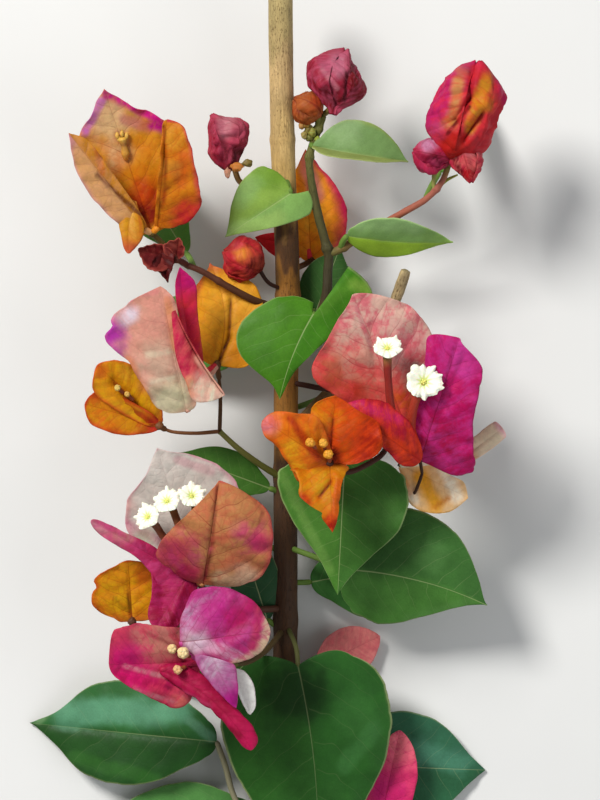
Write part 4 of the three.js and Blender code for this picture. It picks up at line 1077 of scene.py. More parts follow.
bloom("bloom_coral_right", "bract_coral", (32.3, -16.3, 40), [(32.6, -17.8, 38.7), (32.85, -19.3, 37.1)],
    "#3a2012",
    dict(tip=(14.3, 28.3, 46), left=[1.6, 4.2, 8.4, 14.2, 18.3, 8.9, 2.2],
        right=[3.5, 7.5, 11.5, 14.4, 15.2, 11.8, 5.2], curl=6, bow=-2, crumple=0.8, sharp=0.2, veins=0.6,
        folds=[(19, 20, 20.5, 6, 1, -0.7), (6, 10, 17, 12, 2.2, 0.7), (27, 22, 24, 10, 2.5, 0.7),
            (10, 22, 16, 16, 2, -0.6)], tint="#cc7864",
        bleed=(0.8, "#d64646", fade("#da6173", 14, 6, 19, 22)),
        paint=[fade("#dab4a4", 12, 4, 18, 21), spot("#d08890", 28, 14, 7, 0.6),
            line("#bc4844", 3.5, 7, 9, 20, 2, 0.7), spot("#cc5414", 27, -1, 5, 0.9),
            line("#bc3a20", 4, 4, 13, 3, 3.4, 0.8), spot("#b02818", 16, 0, 6, 0.8),
            spot("#bc5030", 9, 8, 5, 0.7), line("#c0707c", 15, 25, 19.5, 13, 0.4, 0.6)]),
    dict(tip=(42.5, 16.5, 53), left=[1.4, 3.4, 5, 5.2, 6.4, 7.6, 7.6],
        right=[13.2, 14.2, 12.4, 10, 9.4, 8.2, 1.6], lobe=(0, 5), cleft=1.5, curl=-6, bow=3, crumple=0.9,
        sharp=0, corner=0.4, veins=0.95,
        folds=[(44, 12, 37, -6, 1.3, -0.7), (35, 14, 36, 2, 2, 0.8), (47, 2, 44, -14, 2.4, 0.9),
            (38, -4, 33, -12, 2.2, 0.8)], tint="#bc0c60", bleed=(0.35, "#d048a8"),
        paint=[spot("#c43c94", 44, 11, 6.5, 0.6), spot("#b01048", 37, -12, 9, 0.9),
            rim("#c02470", 0.1, 1, 0.6), spot("#b40c54", 46, 0, 5, 0.6),
            line("#8c0c48", 41, 14, 36, -8, 0.35, 0.6), line("#d02c88", 33, -8, 40, -16, 1, 0.6)]),
    dict(base=(32.3, -16.3, 47), tip=(11.2, -1.2, 50.5), left=[3.1, 4, 3.4, 2.9, 2.2, 1.6, 0.8],
        right=[2.6, 4.6, 6.4, 7.4, 7.1, 4.8, 1.8], curl=-15, bow=3, claw=False,
        folds=[(16, -1, 28, -9, 2, 0.8)], tint="#a8142c", bleed=(0.6, "#e34114"),
        paint=[spot("#b01c24", 14, -2, 5), spot("#a82410", 30, -15, 4.5, 0.8),
            line("#bc2058", 13, 0, 26, -5, 1.8, 0.9), line("#b83414", 19, -7, 27, -13, 2.4, 0.8)]),
    thin=0.45)
bloom("bloom_orange_centre", "bract_orange", (8, -17, 52),
    [(12.5, -19.3, 49.5), (18, -17.3, 45.5), (22.4, -14.2, 41.5), (23.5, -10, 37), (19, -5, 33),
        (13.5, -0.8, 31), (10, 2.2, 28.5), (4, 3.5, 23.5), (-3.7, 5, 18.5)], "#3c1c10",
    dict(tip=(-9.8, -5.3, 57), left=[5, 8.6, 8, 6, 4.2, 3.6, 2.6],
        right=[2.6, 4.4, 6.8, 8.7, 6.6, 4.9, 2.9], sharp=0.1, curl=(-25, 10), bow=2, crumple=0.8,
        folds=[(3, -8, -3, -7, 2.2, 0.9), (-9, -5, -6, -12, 1.3, 0.9)], tint="#d87c10",
        bleed=(0.5, "#df5c0b"),
        paint=[spot("#d8787c", -9.2, -6, 4), rim("#d4682c", 0.16, 0, 0.6),
            # The dark red line from (-2.6, -4.8) to (4.6, -15.4) is painted shade in a crease.
            line("#dca018", -3, -12, 1, -20, 2.4, 0.85), line("#a8300a", -2.6, -4.8, 4.6, -15.4, 1.4, 0.95),
            line("#c8580c", -7, -11, -3, -18, 1, 0.7), near_base("#983408", 0.3),
            line("#cc5c10", 3, -6, -4, -3, 1.2, 0.7)]),
    dict(tip=(8.6, -35, 57), left=[4.8, 4.1, 3.2, 2.5, 2.1, 1.4, 0.5],
        right=[10, 9.4, 8.4, 8.2, 4.6, 2, 0.6], curl=8, bow=2, hook=-1, crumple=0.9,
        notches=[(1, 0.74, 0.04, 0.35), (-1, 0.6, 0.05, 0.2)],
        folds=[(5, -26, 8.5, -21.5, 0.6, -1.2), (-2, -15, 1, -27, 1.6, 0.9), (10, -21, 9, -32, 1.4, 0.8)],
        tint="#c8800c", bleed=(0.5, "#df650b"),
        paint=[spot("#c8a018", 6, -22, 3.6, 0.8), spot("#cc900c", 2, -21, 3.6, 0.8),
            spot("#b42410", 8.5, -34, 4.2), spot("#b43012", 1, -27, 2.6, 0.95),
            line("#5c2008", 5, -26, 8.3, -21.8, 0.7, 0.95), line("#c04c10", 10.5, -22, 9, -31, 1.2, 0.8),
            near_base("#8c3008", 0.16)]),
    dict(tip=(9.5, 1.2, 55), left=[1.9, 3.1, 4.6, 5.8, 6.1, 5.5, 2.9],
        right=[9.2, 12, 13.5, 13.3, 11.2, 5.2, 1.5], curl=10, crumple=0.8,
        folds=[(9, -4, 8, -12, 1, -0.8), (17, -4, 12, -12, 2.5, 0.9)], tint="#c45008",
        bleed=(0.6, "#df4607"),
        paint=[spot("#d88810", 6, -3, 5.4, 0.9), spot("#9c2406", 18.5, -11, 6.5, 0.9),
            # The near-black spot at (8, -14.5) is painted shade deep in the bloom's throat.
            line("#ac240c", 20, -4, 16, -16, 3.4, 0.8), spot("#5c1206", 8, -14.5, 4.6, 0.95),
            line("#b43c0c", 10, 0, 18, -4, 2, 0.6), line("#7c2008", 9, -5, 8.2, -12, 0.6, 0.8)]), thin=0.75)
bloom("bloom_pale_right", "bract_peach", (27, -17.5, 33), [(28.2, -21.5, 31.6), (29.3, -25.2, 31.6)],
    "#3a2012",
    dict(tip=(45.5, -26.5, 31), left=[2, 3.1, 3.9, 3.6, 3.4, 3.4, 1.6],
        right=[1.9, 4.2, 8, 8.6, 7.6, 5.8, 2.9], crumple=0.8, veins=0.3, tint="#f0cc98",
        bleed=(0.2, "#f0b45c"),
        paint=[spot("#f8f0dc", 29.5, -26, 3.2, 0.95), line("#eaa818", 32.6, -21, 36.6, -28, 2.9, 0.95),
            line("#f8f0dc", 39.4, -19, 42.2, -26, 2.4, 0.95),
            line("#cc7c20", 36.4, -29, 40.2, -26.5, 0.8, 0.8), rim("#ecb04c", 0.14, 1, 0.7),
            line("#e0903c", 27, -20, 30, -25, 1.2, 0.6)]),
    dict(base=(43.6, -16, 33), tip=(54.6, -7.6, 38), left=[1.6, 2.2, 2.6, 2.8, 3, 3, 2.6],
        right=[1.6, 2.2, 2.6, 2.8, 2.8, 2.6, 2.2], sharp=0, curl=-15, crumple=0.6, veins=0.3,
        tint="#ece0c4",
        paint=[near_tip("#f0c4cc", 0.16), near_base("#d49c54", 0.45), rim("#ecbcac", 0.2, 0, 0.5)]),
    thin=0.4)
bloom("bloom_coral_left", "bract_coral", (-28, -49, 36), [(-27, -50, 34.6), (-25.8, -51.2, 32.9)],
    "#4a2c1c",
    dict(tip=(-38.4, -13, 42), left=[3.9, 7.8, 12.3, 14.2, 11.6, 4.6, 1.6],
        right=[5.5, 11.2, 15.4, 18.2, 16.3, 10.4, 3.2], curl=6, bow=-3, ripple=0.3, crumple=0.22,
        relief=0.16, veins=0.15, tint="#d4ccc4", bleed=(0.3, "#ecd8d0"),
        paint=[rim("#cc7c90", 0.14, 0, 0.8), spot("#dcd6ce", -36, -19, 8, 0.8),
            spot("#cc9c94", -48, -28, 4, 0.7), line("#b84c78", -47, -33, -38, -38, 1.6, 0.6),
            line("#cc8c98", -33, -16, -24, -19, 1.4, 0.5), spot("#a4ac88", -42, -37, 4, 0.5)]),
    dict(base=(-26, -49.5, 40), tip=(-21.6, -21.6, 50), left=[9.2, 12.4, 13.6, 10.6, 6.9, 3, 0.9],
        right=[11.8, 15.2, 16.8, 17, 15.8, 13, 6.6], lobe=(0, 1.7), cleft=2.6, curl=(-8, -10), bow=4,
        crumple=0.8, sharp=0.4, gap=7, foot=2, corner=0.35, veins=1,
        folds=[(-22, -24, -24, -40, 0.8, -0.8), (-23.5, -30, -12, -34, 1.2, -0.5),
            (-25, -38, -13, -44, 1.2, -0.5), (-24, -36, -34, -33, 1.2, -0.5), (-17, -28, -14, -36, 3, 0.7)],
        tint="#b87c4c",
        bleed=(0.5, "#cc6048", spot("#c83870", -13, -37, 6), spot("#b8306c", -32, -42, 8),
            spot("#d0a484", -16, -48.5, 6)),
        paint=[spot("#c03c70", -16.5, -34.5, 2.8, 0.7), spot("#c02860", -10.5, -38, 3.6, 0.9),
            spot("#c08450", -22, -29, 8, 0.8), spot("#bc5c48", -16, -43, 4, 0.5),
            spot("#d8b494", -14.5, -48.5, 4.8, 0.95), spot("#d0b088", -20.5, -48.4, 3.2, 0.9),
            rim("#c03850", 0.1, 1, 0.7), line("#5c1c18", -22.2, -23, -23.4, -38, 0.6, 0.75),
            line("#5c1410", -23.4, -38, -25.5, -48, 0.8, 0.9),
            line("#80302c", -23.3, -37, -12, -36, 0.6, 0.6), line("#80302c", -12, -36, -10, -30, 0.6, 0.5),
            line("#80302c", -10, -30, -13, -26, 0.6, 0.4), line("#80302c", -33, -33.5, -30, -29, 0.6, 0.4),
            line("#80302c", -23.5, -37.5, -33, -33.5, 0.6, 0.6), spot("#b0284c", -34, -42, 6, 0.85),
            spot("#b0184c", -31, -47, 5, 0.9), line("#b8444c", -36, -38, -28, -38, 1.6, 0.6)]),
    dict(tip=(-56, -32.3, 46), left=[6.6, 8.1, 4.8, 2.6, 2.4, 2.2, 1.3],
        right=[1.4, 1.7, 2, 2.4, 1.8, 1.5, 1], sharp=0.1, veins=0.4, tint="#b8285c", bleed=(0.5, "#d85090"),
        paint=[near_tip("#cc8c94", 0.4), near_base("#a40c40", 0.3), spot("#d0988c", -47, -35.5, 3.4, 0.8),
            line("#b83460", -56, -31.5, -47, -36.5, 0.8, 0.7)]),
    dict(base=(-29, -45.5, 38), tip=(-39, -61.4, 40), left=[2.6, 3.6, 4.4, 5, 5.2, 4.8, 3],
        right=[8.2, 9.2, 9.2, 6.8, 5, 4, 2.4], sharp=0.2, veins=0.4,
        folds=[(-30, -46, -35, -60, 1.6, 0.8), (-38, -42, -37, -56, 1.6, -0.8)], tint="#980c3a",
        bleed=(0.5, "#cc3078"),
        paint=[spot("#780824", -33, -60, 3.5, 0.7), rim("#a41844", 0.2, 0, 0.6),
            line("#b02454", -36, -44, -34, -56, 1.4, 0.6)]))
bloom("bloom_small_orange", "bract_orange", (-45.5, -60, 29), [(-45.5, -61, 28), (-45.1, -62, 27.2)],
    "#54301e",
    dict(tip=(-46.5, -43.4, 34), left=[4.6, 7.9, 10.2, 10.3, 10, 7.2, 3.4],
        right=[6.2, 6.6, 7, 7.4, 7.4, 6.9, 4.2], curl=10, gap=3.6, sharp=0.3, foot=3, crumple=0.9,
        notches=[(-1, 0.62, 0.07, 0.14)], veins=1,
        folds=[(-55, -53, -44, -50, 1.3, -0.5), (-46, -46, -46, -57, 1, -0.4)], tint="#d89c10",
        bleed=(0.4, "#e37719"),
        paint=[rim("#c44812", 0.24, 0, 0.9), spot("#c0580e", -42, -47, 3.4, 0.8),
            spot("#dcac14", -49, -54, 5.4, 0.8), line("#4c1c08", -46, -59, -46.5, -52, 0.6, 0.8),
            line("#4c1c08", -46, -58, -51, -53, 0.6, 0.35), near_base("#b4641c", 0.2)]))
bloom("bloom_magenta_low", "bract_magenta", (-27, -70.5, 40), [(-22, -70.5, 38), (-17.9, -71.4, 34.6)],
    "#5a5a28",
    dict(tip=(-51.2, -71, 45), left=[8.2, 11.4, 12, 10.2, 7.9, 5.2, 2.6],
        right=[7.5, 9.1, 9.9, 10.5, 11, 10.2, 8.2], curl=8, crumple=1, sharp=0, veins=0.6,
        folds=[(-46, -68, -34, -67, 1.6, 0.8), (-48, -73, -34, -76, 2, -1.2), (-44, -77, -32, -80, 2, 1)],
        tint="#bc3458", bleed=(0.7, "#cd3e59", spot("#cd0c6b", -46, -72, 9)),
        paint=[spot("#bc7868", -38, -64.5, 7, 0.95), line("#c47870", -44, -62, -33, -63, 2, 0.8),
            spot("#b81064", -46.5, -69.5, 5, 0.9), line("#b81858", -49, -74, -36, -76.5, 2.4, 0.9),
            spot("#980c34", -38, -80, 4, 0.7), spot("#bc6054", -32, -81.5, 3, 0.8),
            line("#d0989c", -47, -71.5, -30, -76, 0.8, 0.7), line("#c8808c", -44, -78, -34, -81, 0.8, 0.6),
            line("#7c1c28", -42, -62, -33, -66.5, 0.3, 0.7), line("#6c1430", -36, -77, -30, -80, 0.4, 0.7)]),
    dict(base=(-32, -65, 44), tip=(-8, -61.7, 48), left=[8.5, 12.9, 13.7, 13.5, 11.8, 9, 4.8],
        right=[2.4, 4.5, 6.3, 7.5, 7.3, 6, 3.1], curl=-8, bow=3, crumple=1, sharp=0.2, veins=0.9,
        folds=[(-29, -63, -18, -53, 1.6, 0.8), (-25, -66, -14, -58, 1.3, -0.9),
            (-22, -68, -12, -62, 1.6, 0.9), (-30, -58, -22, -52, 1.6, -0.7)], tint="#b43c80",
        bleed=(0.65, "#b81c68", spot("#c02488", -24, -56, 7), spot("#c8a0bc", -28, -65, 5)),
        paint=[spot("#c494b8", -30.5, -59, 5, 0.95), spot("#d4bcc8", -28.5, -65, 4, 0.95),
            spot("#b82480", -22.5, -56.5, 4.2, 0.85), spot("#b01054", -16.5, -58, 5, 0.9),
            spot("#b41458", -13, -54.5, 3.5, 0.8), line("#bc3c58", -10.6, -56, -12.4, -66, 1.8, 0.8),
            line("#cc9cb4", -24, -66, -17, -68.5, 2, 0.85),
            line("#d0b898", -8.4, -58, -9.4, -66, 1.9, 0.95),
            line("#ccb498", -10.5, -68, -18, -71, 1.7, 0.95),
            line("#c484ac", -29, -55, -22, -51.5, 0.9, 0.6), line("#94104c", -21, -62, -13, -60, 0.6, 0.5)]),
    dict(base=(-23.4, -68.8, 50.5), tip=(-17.1, -82.5, 48), left=[4, 4.4, 4.3, 3.6, 2.7, 1.5, 0.7],
        right=[4.2, 4.6, 4.2, 3.2, 2.2, 1.3, 0.6], lobe=(-3.4, 3.4), cleft=1, foot=2, claw=False,
        corner=0.05, veins=0.3, folds=[(-23, -69, -18, -80, 0.9, 0.8), (-26, -70, -20, -79, 0.9, -0.6)],
        tint="#ba78a4", bleed=(0.5, "#b42484"),
        paint=[spot("#ccb0c4", -23.4, -71, 3.8, 0.9), fade("#ac1480", -21, -74, -17.5, -80),
            rim("#b4347c", 0.2, 0, 0.7)]),
    dict(base=(-37.5, -72.5, 43), tip=(-13.4, -93.4, 49), left=[2.8, 4, 4.2, 3.4, 3.2, 3.6, 3],
        right=[1.6, 2.4, 2.8, 2.6, 2.2, 2, 1.4], sway=-3, hook=-3, sharp=0, curl=-45, veins=0.4,
        # Its crimson, and the darker line from (-30, -80), are partly the bract's own magenta and partly
        # painted shade on the inner side of its fold.
        tint="#a00e3c", bleed=(0.5, "#c41c58"),
        paint=[near_tip("#b40c4c", 0.35), line("#bc4068", -36, -76, -24, -82, 0.7, 0.6),
            line("#74061e", -30, -80, -16, -90, 0.8, 0.6)]),
    dict(base=(-18.3, -72.5, 44), tip=(-13.4, -84.6, 42), left=[2.2, 3.2, 3.8, 3.8, 3.2, 2.4, 1.4],
        right=[0.8, 0.8, 0.8, 0.8, 0.8, 0.6, 0.5], ripple=0.1, crumple=0.25, veins=0.1, tint="#f2f0ec",
        paint=[rim("#e6dad8", 0.12)]))
bloom("bloom_bottom_right", "bract_magenta", (21, -121, 9),
    [(14, -121, 8.5), (5, -120, 8), (-4, -117, 5.9)], "#5a4a28",
    dict(tip=(27.3, -90.5, 12.5), left=[3, 5.4, 7, 7.4, 6.4, 4, 1.8], right=[3, 5.4, 7, 7.6, 7, 5, 2.4],
        curl=8, sharp=0.3, veins=0.6, tint="#da386e", bleed=(0.7, "#d2276a"),
        paint=[fade("#e77280", 26, -104, 27, -94), spot("#d21578", 24, -108, 6, 0.8)]))
bloom("bloom_back", "bract_magenta", (5, -73, 7.5), [(2, -73.5, 8.5), (-4, -74, 10.4)], "#4a3a1e",
    dict(tip=(22, -65, 4), left=[4, 6.4, 6.2, 3], curl=-8, tint="#da6e73", bleed=(0.6, "#e79289"),
        paint=[rim("#e38d8d", 0.25, 0, 0.6)]),
    dict(tip=(17, -84.5, 5), left=[3.5, 6, 6, 3], curl=-8, veins=1, tint="#da4a61", bleed=(0.6, "#df924f"),
        paint=[near_base("#d66a27", 0.4)]))

# Closed blooms
bud("bud_left", "bract_magenta", [(-17.9, 63, 27), (-16, 59, 25), (-10, 56.5, 24.5), (-4.1, 55, 23.8)],
    "#7a5a30",
    dict(base=(-18.6, 62.3, 26), tip=(-24, 77.4, 28), left=[2.4, 3.6, 3.6, 3, 2.2, 1.4, 0.7],
        right=[2.6, 4.2, 5.8, 6.8, 7.5, 6.4, 3.4], turn=165, notch=0.04, seed=21, crumple=0.55,
        folds=[(-19, 68, -15.5, 66.5, 2.6, -2.2), (-23, 75, -21.5, 66, 0.9, 0.9),
            (-22, 70, -17, 69.5, 1, 0.9), (-20.5, 76, -20.5, 71, 1.2, -0.6)], tint="#ac3446",
        bleed=(0.4, "#c15070"),
        paint=[spot("#c08088", -20, 74, 3.4, 0.9), spot("#b04c60", -16, 73, 3.2, 0.8),
            # The near-black spot at (-16.3, 66.5) is painted shade in the hollow of the deepest dent.
            spot("#480a08", -16.3, 66.5, 3.2, 0.95), line("#941430", -24, 75, -21.5, 64, 1.4, 0.9),
            line("#941c34", -14, 74, -14, 68, 1.2, 0.7), near_base("#6c1c14", 0.18)]),
    bits=[((-17, 63.2, 29.5), (1.7, 1.2, 1), "#b4702c"), ((-14.2, 64.2, 28.5), (1.4, 1, 0.9), "#6c5c28"),
        ((-19.6, 61.6, 28), (0.9, 1.4, 0.8), "#c08c70")])
bud("bud_top", "bract_magenta", [(8.9, 79.5, 32), (7.6, 78.3, 30.3), (6.7, 77.6, 29)], "#6a5a2c",
    dict(base=(8.9, 77.2, 32), tip=(12.8, 94.8, 33), left=[2, 4.6, 6.8, 8.4, 8.6, 7.4, 4.8],
        right=[2, 4.6, 6.4, 6.2, 4.4, 2.8, 1.6], turn=62, notch=0.05, seed=33, crumple=0.6,
        folds=[(4.5, 91, 6.5, 85, 1.2, 1), (6.5, 85, 14.5, 90, 1, 0.8), (13, 83, 10, 79, 1.6, -1.2),
            (14.3, 92, 12.3, 84, 0.9, -1.2), (7, 83.5, 9.5, 79, 1.2, -1)], tint="#9c2038",
        bleed=(0.5, "#cd5d7d"),
        # Painted light on the facets: the pale pink spots at (10.5, 90.5) and (6.5, 90) and the pale stripe
        # from (6, 89) are painted highlights; the dark red of the right lobe, the bottom and the left side is
        # partly the bud's own deep red and partly painted shade, and the near-black line from (12.6, 88) is
        # painted shade in a crease.
        paint=[spot("#b87084", 10.5, 90.5, 3.8, 0.9), spot("#b05c74", 6.5, 90, 2.4, 0.8),
            line("#c4808c", 6, 89, 10, 84, 0.8, 0.6), line("#781018", 14.5, 91, 15.5, 82, 2.6, 0.95),
            spot("#84141c", 8, 80.5, 3.4, 0.9), line("#94142c", 3.6, 89, 4.2, 83, 2, 0.8),
            line("#4c0a10", 12.6, 88, 12, 81, 0.7, 0.9)]))
bud("bud_rust", "bract_red", [(4.6, 77.6, 30), (4.9, 75.8, 29.2), (4.7, 73.5, 28.2)], "#6a6a30",
    dict(base=(5.6, 77.2, 30), tip=(-1.6, 81.6, 31), left=[2.4, 3.4, 3.9, 4, 3.8, 3.2, 1.8], turn=75,
        crumple=0.45, notch=0.2, tint="#a74b20", bleed=(0.5, "#bc743a"),
        paint=[rim("#7c2c1c", 0.3), spot("#b43a24", 4, 81, 2, 0.6)]),
    bits=[((1.6, 74.6, 29.6), (1.2, 0.9, 0.9), "#96722a"), ((3.4, 72.4, 29.8), (1, 1.2, 0.9), "#7c7c34"),
        ((1.2, 71.8, 29), (0.9, 1.1, 0.8), "#8c7c44"), ((0.4, 74.2, 29.8), (0.8, 1, 0.8), "#9c7038"),
        ((2.4, 73.4, 28.8), (1.1, 1.4, 0.9), "#7a6c34"), ((2.6, 71.2, 28.4), (1.2, 1.2, 0.9), "#6c6a30"),
        ((4.8, 70.6, 29.6), (0.8, 1, 0.8), "#808d33")])
bud("bud_right", "bract_coral", [(41.4, 66.5, 38.5), (40.8, 64.8, 37.8), (40.3, 63.7, 37.3)], "#7a7030",
    dict(base=(41.8, 64.4, 38.5), tip=(47.9, 91, 43), left=[6, 8.2, 8.4, 8.4, 7.8, 6.6, 4.6],
        right=[5.4, 7, 7.4, 7.8, 8.4, 8.2, 6], turn=50, notch=0.06, seed=41, crumple=0.7, veins=0.4,
        depth=0.8,
        folds=[(45.6, 81, 41.5, 75, 0.9, -1.6), (48.8, 77, 44, 70, 0.9, -1.6), (47, 78, 41, 68, 2.2, 1.6),
            (42.5, 88, 40, 76, 1.2, 0.9), (48.5, 89, 46.5, 82, 1.2, 0.8), (45.8, 88, 45.5, 80, 0.9, -0.6),
            (52, 86, 51, 76, 1.4, -0.8)], tint="#c02c38", bleed=(0.5, "#da272b"),
        paint=[fade("#bc1c64", 42.5, 76, 37.5, 79, 0.95), line("#cc9050", 42.4, 85.6, 40.6, 74, 1.9, 0.9),
            spot("#c87050", 43.5, 88, 2.4, 0.7), line("#b41c30", 46.6, 89, 45.6, 77.5, 1.5, 0.9),
            line("#cc8c1c", 50.4, 87, 45.6, 72.5, 1.9, 0.9), spot("#d88c18", 49.6, 80, 2.8, 0.8),
            fade("#bc1860", 51.8, 82, 54.4, 83, 0.95), spot("#bc2450", 49.8, 90, 2.6, 0.8),
            spot("#bc3c64", 44.5, 90, 2.2, 0.7), spot("#b01c10", 41.5, 68.5, 5, 0.95),
            spot("#c87c24", 39, 74, 2, 0.8), spot("#b83c68", 37, 73, 3.2, 0.7),
            # The near-black lines from (45.4, 78.4) and (48.6, 76.5) are painted shade in the two dented
            # creases.
            line("#b8243c", 52, 88, 52.5, 78, 0.9, 0.6), line("#5c0c10", 45.4, 78.4, 39.6, 71.4, 0.6, 0.95),
            line("#701410", 48.6, 76.5, 44.4, 70.5, 0.6, 0.9)]),
    dict(base=(41, 65, 38.5), tip=(30.6, 67, 41), left=[2, 3.4, 4.4, 4.8, 4.6, 3.8, 2.4],
        right=[1.6, 2.6, 3.4, 3.6, 3.4, 2.8, 1.6], crumple=0.5, folds=[(37, 64.5, 34, 64, 1.6, -1.4)],
        tint="#af1e40", bleed=(0.4, "#c53e6f"),
        # The near-black spot at (36.5, 64) is painted shade in the hollow of the dent.
        paint=[spot("#c585a7", 34.5, 69, 3, 0.95), spot("#560911", 36.5, 64, 2.4, 0.9)]),
    dict(base=(43, 69, 39), tip=(46, 58.6, 42), left=[2.4, 3.6, 4.4, 4.4, 3.6, 2.8, 1.8],
        right=[2.2, 3.2, 3.6, 3.2, 2.6, 1.8, 1.2], crumple=0.45, tint="#bc2b44", bleed=(0.5, "#df736a"),
        paint=[spot("#d68085", 46.5, 67.5, 2.6, 0.9), spot("#b4111a", 45.5, 60.5, 2.2, 0.9),
            line("#620d11", 41.5, 66, 43, 61.5, 0.9, 0.8)]))
bud("bud_red", "bract_red", [(-11.6, 36.4, 28), (-9, 32.3, 25.5), (-6.5, 30.8, 23.5), (-3.4, 30, 21)],
    "#3c2018",
    dict(base=(-10.2, 36, 28), tip=(-20.8, 40.2, 30), left=[3, 4.6, 5.2, 5.4, 5.2, 4.4, 2.4], turn=110,
        crumple=0.5, folds=[(-19, 41, -12, 41.5, 0.9, -0.8), (-18, 37, -13, 35.5, 0.9, -0.8)],
        tint="#b8222f", bleed=(0.5, "#d65439"),
        paint=[spot("#df8d33", -15.5, 39.4, 2.6, 0.9), spot("#c94451", -17, 42, 2, 0.7),
            spot("#621115", -11.5, 36.5, 3.4, 0.95), line("#961522", -19, 36, -14, 34, 1.2, 0.7)]),
    thin=0.55)

# Open flowers, each on a tube that rises from its bract
FLOWERS = [             # the tube's path, facing, radius, the tube's colour at its foot and top, its radii
    ([(27.5, -9, 44), (24.6, -3, 47), (23.5, 7, 50), (23.4, 14.5, 52)], (0, 0.65, 0.75), 4.3,
     "#902416", "#78160e", [1.15, 1.15, 1, 1.3]),
    ([(30.5, -11, 44.5), (29.6, -7, 46.6), (30.6, -1, 50.4), (33.2, 5, 53.8)], (0.1, 0.15, 1), 5.4,
     "#a42814", "#902c16", [1.5, 1.4, 1.2, 1.5]),
    ([(-33, -41, 41), (-36.5, -37, 43), (-38.6, -33.8, 45), (-41.2, -31, 46.5)], (-0.4, 0.4, 0.85), 4,
     "#8a4a34", "#6c3a1e", [0.9, 1, 1, 1.2]),
    ([(-31, -38, 42), (-33, -32.5, 43.5), (-34.3, -29, 45), (-35.8, -26.6, 47.2)], (-0.2, 0.5, 0.85), 4.1,
     "#8a4a34", "#7c4a24", [0.95, 1.1, 1.05, 1.2]),
    ([(-28, -36, 42), (-28, -31, 44), (-28.3, -27.5, 46.5), (-28.9, -25.2, 48.4)], (0.1, 0.5, 0.85), 4.1,
     "#8a4a34", "#7c4a24", [0.95, 1.1, 1.05, 1.2]),
]
SUNK = 0.42             # how far the tube ends below the flower's mouth, as a share of the flower's radius
piece = Piece()
for k, ((*path, mouth), facing, radius, foot, top, radii) in enumerate(FLOWERS):
    sunk = np.array(mouth) - unit(np.array(facing, float)) * SUNK * radius
    tube(piece, [*path, sunk], radii, [(0, foot), (0.8, top), (1, "#8c7a3c")], "soft", corners=20, step=0.4,
         seed=k)
    star(piece, mouth, facing, radius, seed=k + 2)
piece.build("open_flowers", "bract_peach")

# Closed flowers in the throats, each five small beads on a larger one, on a short tube
BEADS = [
    ("bloom_magenta_low", -34.2, -66.8, 1.3, "#dcbc88"), ("bloom_magenta_low", -31.3, -67.8, 1.6, "#e0c490"),
    ("bloom_magenta_low", -32.8, -72.3, 1.25, "#d0a070"), ("bloom_orange_centre", 2.7, -11.3, 1.3, "#d08c24"),
    ("bloom_orange_centre", 6.2, -11.5, 1.25, "#d89830"), ("bloom_orange_centre", 7.6, -14.4, 1.3, "#d89428"),
    ("bloom_small_left", -49.2, 3.3, 0.9, "#d0b060"), ("bloom_small_left", -46.6, 1.6, 0.8, "#cca050"),
]
piece = Piece()
for k, (name, x, y, r, tint) in enumerate(BEADS):
    carrier, middle = OPEN[name]
    under = carrier.top(x, y)
    z = under + 1.3 * r + 0.5
    here = np.array([x, y])
    foot = here + 2.2 * unit(middle - here)
    path = [(*foot, under - 0.3), (*(foot * 0.4 + here * 0.6), under + 0.5 * r), (x, y, z - 0.5 * r)]
    tube(piece, path, [0.55, 0.5, 0.75], "#8a4424", "soft", corners=12, step=0.3, seed=k)
    ball(piece, (x, y, z), r, tint, squash=(1, 1, 0.85), rough=0.2, seed=k + 10)
    for j in range(5):
        turn = 2 * np.pi * j / 5 + k
        place = x + 0.42 * r * np.cos(turn), y + 0.42 * r * np.sin(turn), z + 0.5 * r
        ball(piece, place, 0.45 * r, tint, rough=0.15, seed=j)

# One long closed flower that lies on the top left bloom
z = OPEN["bloom_top_left"][0].top(-47, 66)
path = [(-46.9, 64.6, z - 0.2), (-47, 66.4, z + 1.0), (-47.4, 68.6, z + 1.7), (-47.8, 70.4, z + 2.2)]
stops = [(0, "#c87c28"), (0.45, "#b88430"), (0.75, "#94642c"), (1, "#c89c40")]
tube(piece, path, [0.55, 1.15, 0.75, 1.35], stops, "soft", corners=20, step=0.25, seed=31)
for k in range(5):
    turn = 2 * np.pi * k / 5 + 0.3
    place = -47.9 + 1.35 * np.cos(turn), 70.9 + 0.7 * np.sin(turn), z + 2.3 + 0.4 * np.sin(turn)
    ball(piece, place, 0.7, "#c49a44", squash=(0.8, 1.3, 0.8), seed=k + 40)
piece.build("throat_flowers", "bract_orange")

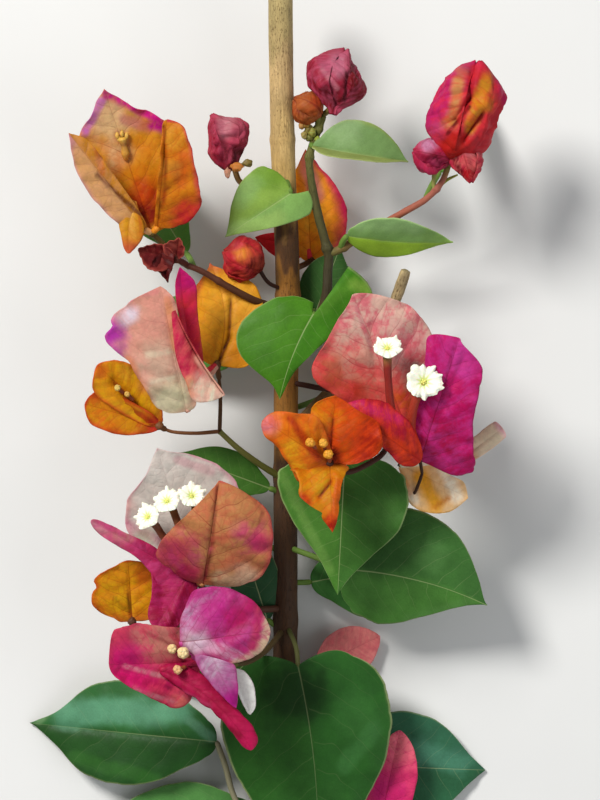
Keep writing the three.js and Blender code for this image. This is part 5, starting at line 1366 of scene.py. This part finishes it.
# Floor
FLOOR = 3.0             # metres from its middle to each side
mesh = bpy.data.meshes.new("floor")
corners = [(x * FLOOR, y * FLOOR, 0) for x, y in ((-1, -1), (1, -1), (1, 1), (-1, 1))]
mesh.from_pydata(corners, [], [(0, 1, 2, 3)])
mesh.materials.append(floor_material())
ground = bpy.data.objects.new("floor", mesh)
bpy.context.scene.collection.objects.link(ground)


# Light
AIM = (0, 0, 0.02)
SKY = 0.36              # how bright the world behind the scene is


def area_light(name, place, size, power, tone):
    """Round lamp, aimed at the branch."""
    light = bpy.data.lights.new(name, "AREA")
    light.shape = "DISK"
    light.size, light.energy, light.color = size, power, tone
    lamp = bpy.data.objects.new(name, light)
    bpy.context.scene.collection.objects.link(lamp)
    z = unit(np.array(place) - AIM)
    x = unit(np.cross([0.0, 1.0, 0.0], z))
    matrix = np.eye(4)
    matrix[:3] = np.stack([x, np.cross(z, x), z, place], -1)
    lamp.matrix_world = matrix.T.tolist()


area_light("key", (-0.75, 0.75, 1.15), 0.5, 29, (1.0, 0.985, 0.95))
area_light("fill", (1.1, -0.5, 1.0), 1.3, 7.5, (0.95, 0.98, 1.0))

world = bpy.data.worlds.new("studio")
world.use_nodes = True
sky = world.node_tree.nodes["Background"]
sky.inputs["Color"].default_value = (0.95, 0.97, 1.0, 1.0)
sky.inputs["Strength"].default_value = SKY
bpy.context.scene.world = world
bpy.context.scene.view_settings.view_transform = "Standard"

# Camera, straight above the branch
EYE_HEIGHT = 1600.0     # above the plane that the photograph's scale is given for
SCALE_PLANE = 35.0
PIXEL = 0.27            # millimetres at that plane
PIXELS = 800            # in the photograph's height
SENSOR = 36.0
camera = bpy.data.cameras.new("camera")
camera.sensor_width = SENSOR
camera.lens = SENSOR * EYE_HEIGHT / (PIXELS * PIXEL)
camera.clip_start, camera.clip_end = 0.05, 20.0
eye = bpy.data.objects.new("camera", camera)
eye.location = ((CENTRE + [0, 0, SCALE_PLANE + EYE_HEIGHT]) * MM).tolist()
bpy.context.scene.collection.objects.link(eye)
bpy.context.scene.camera = eye
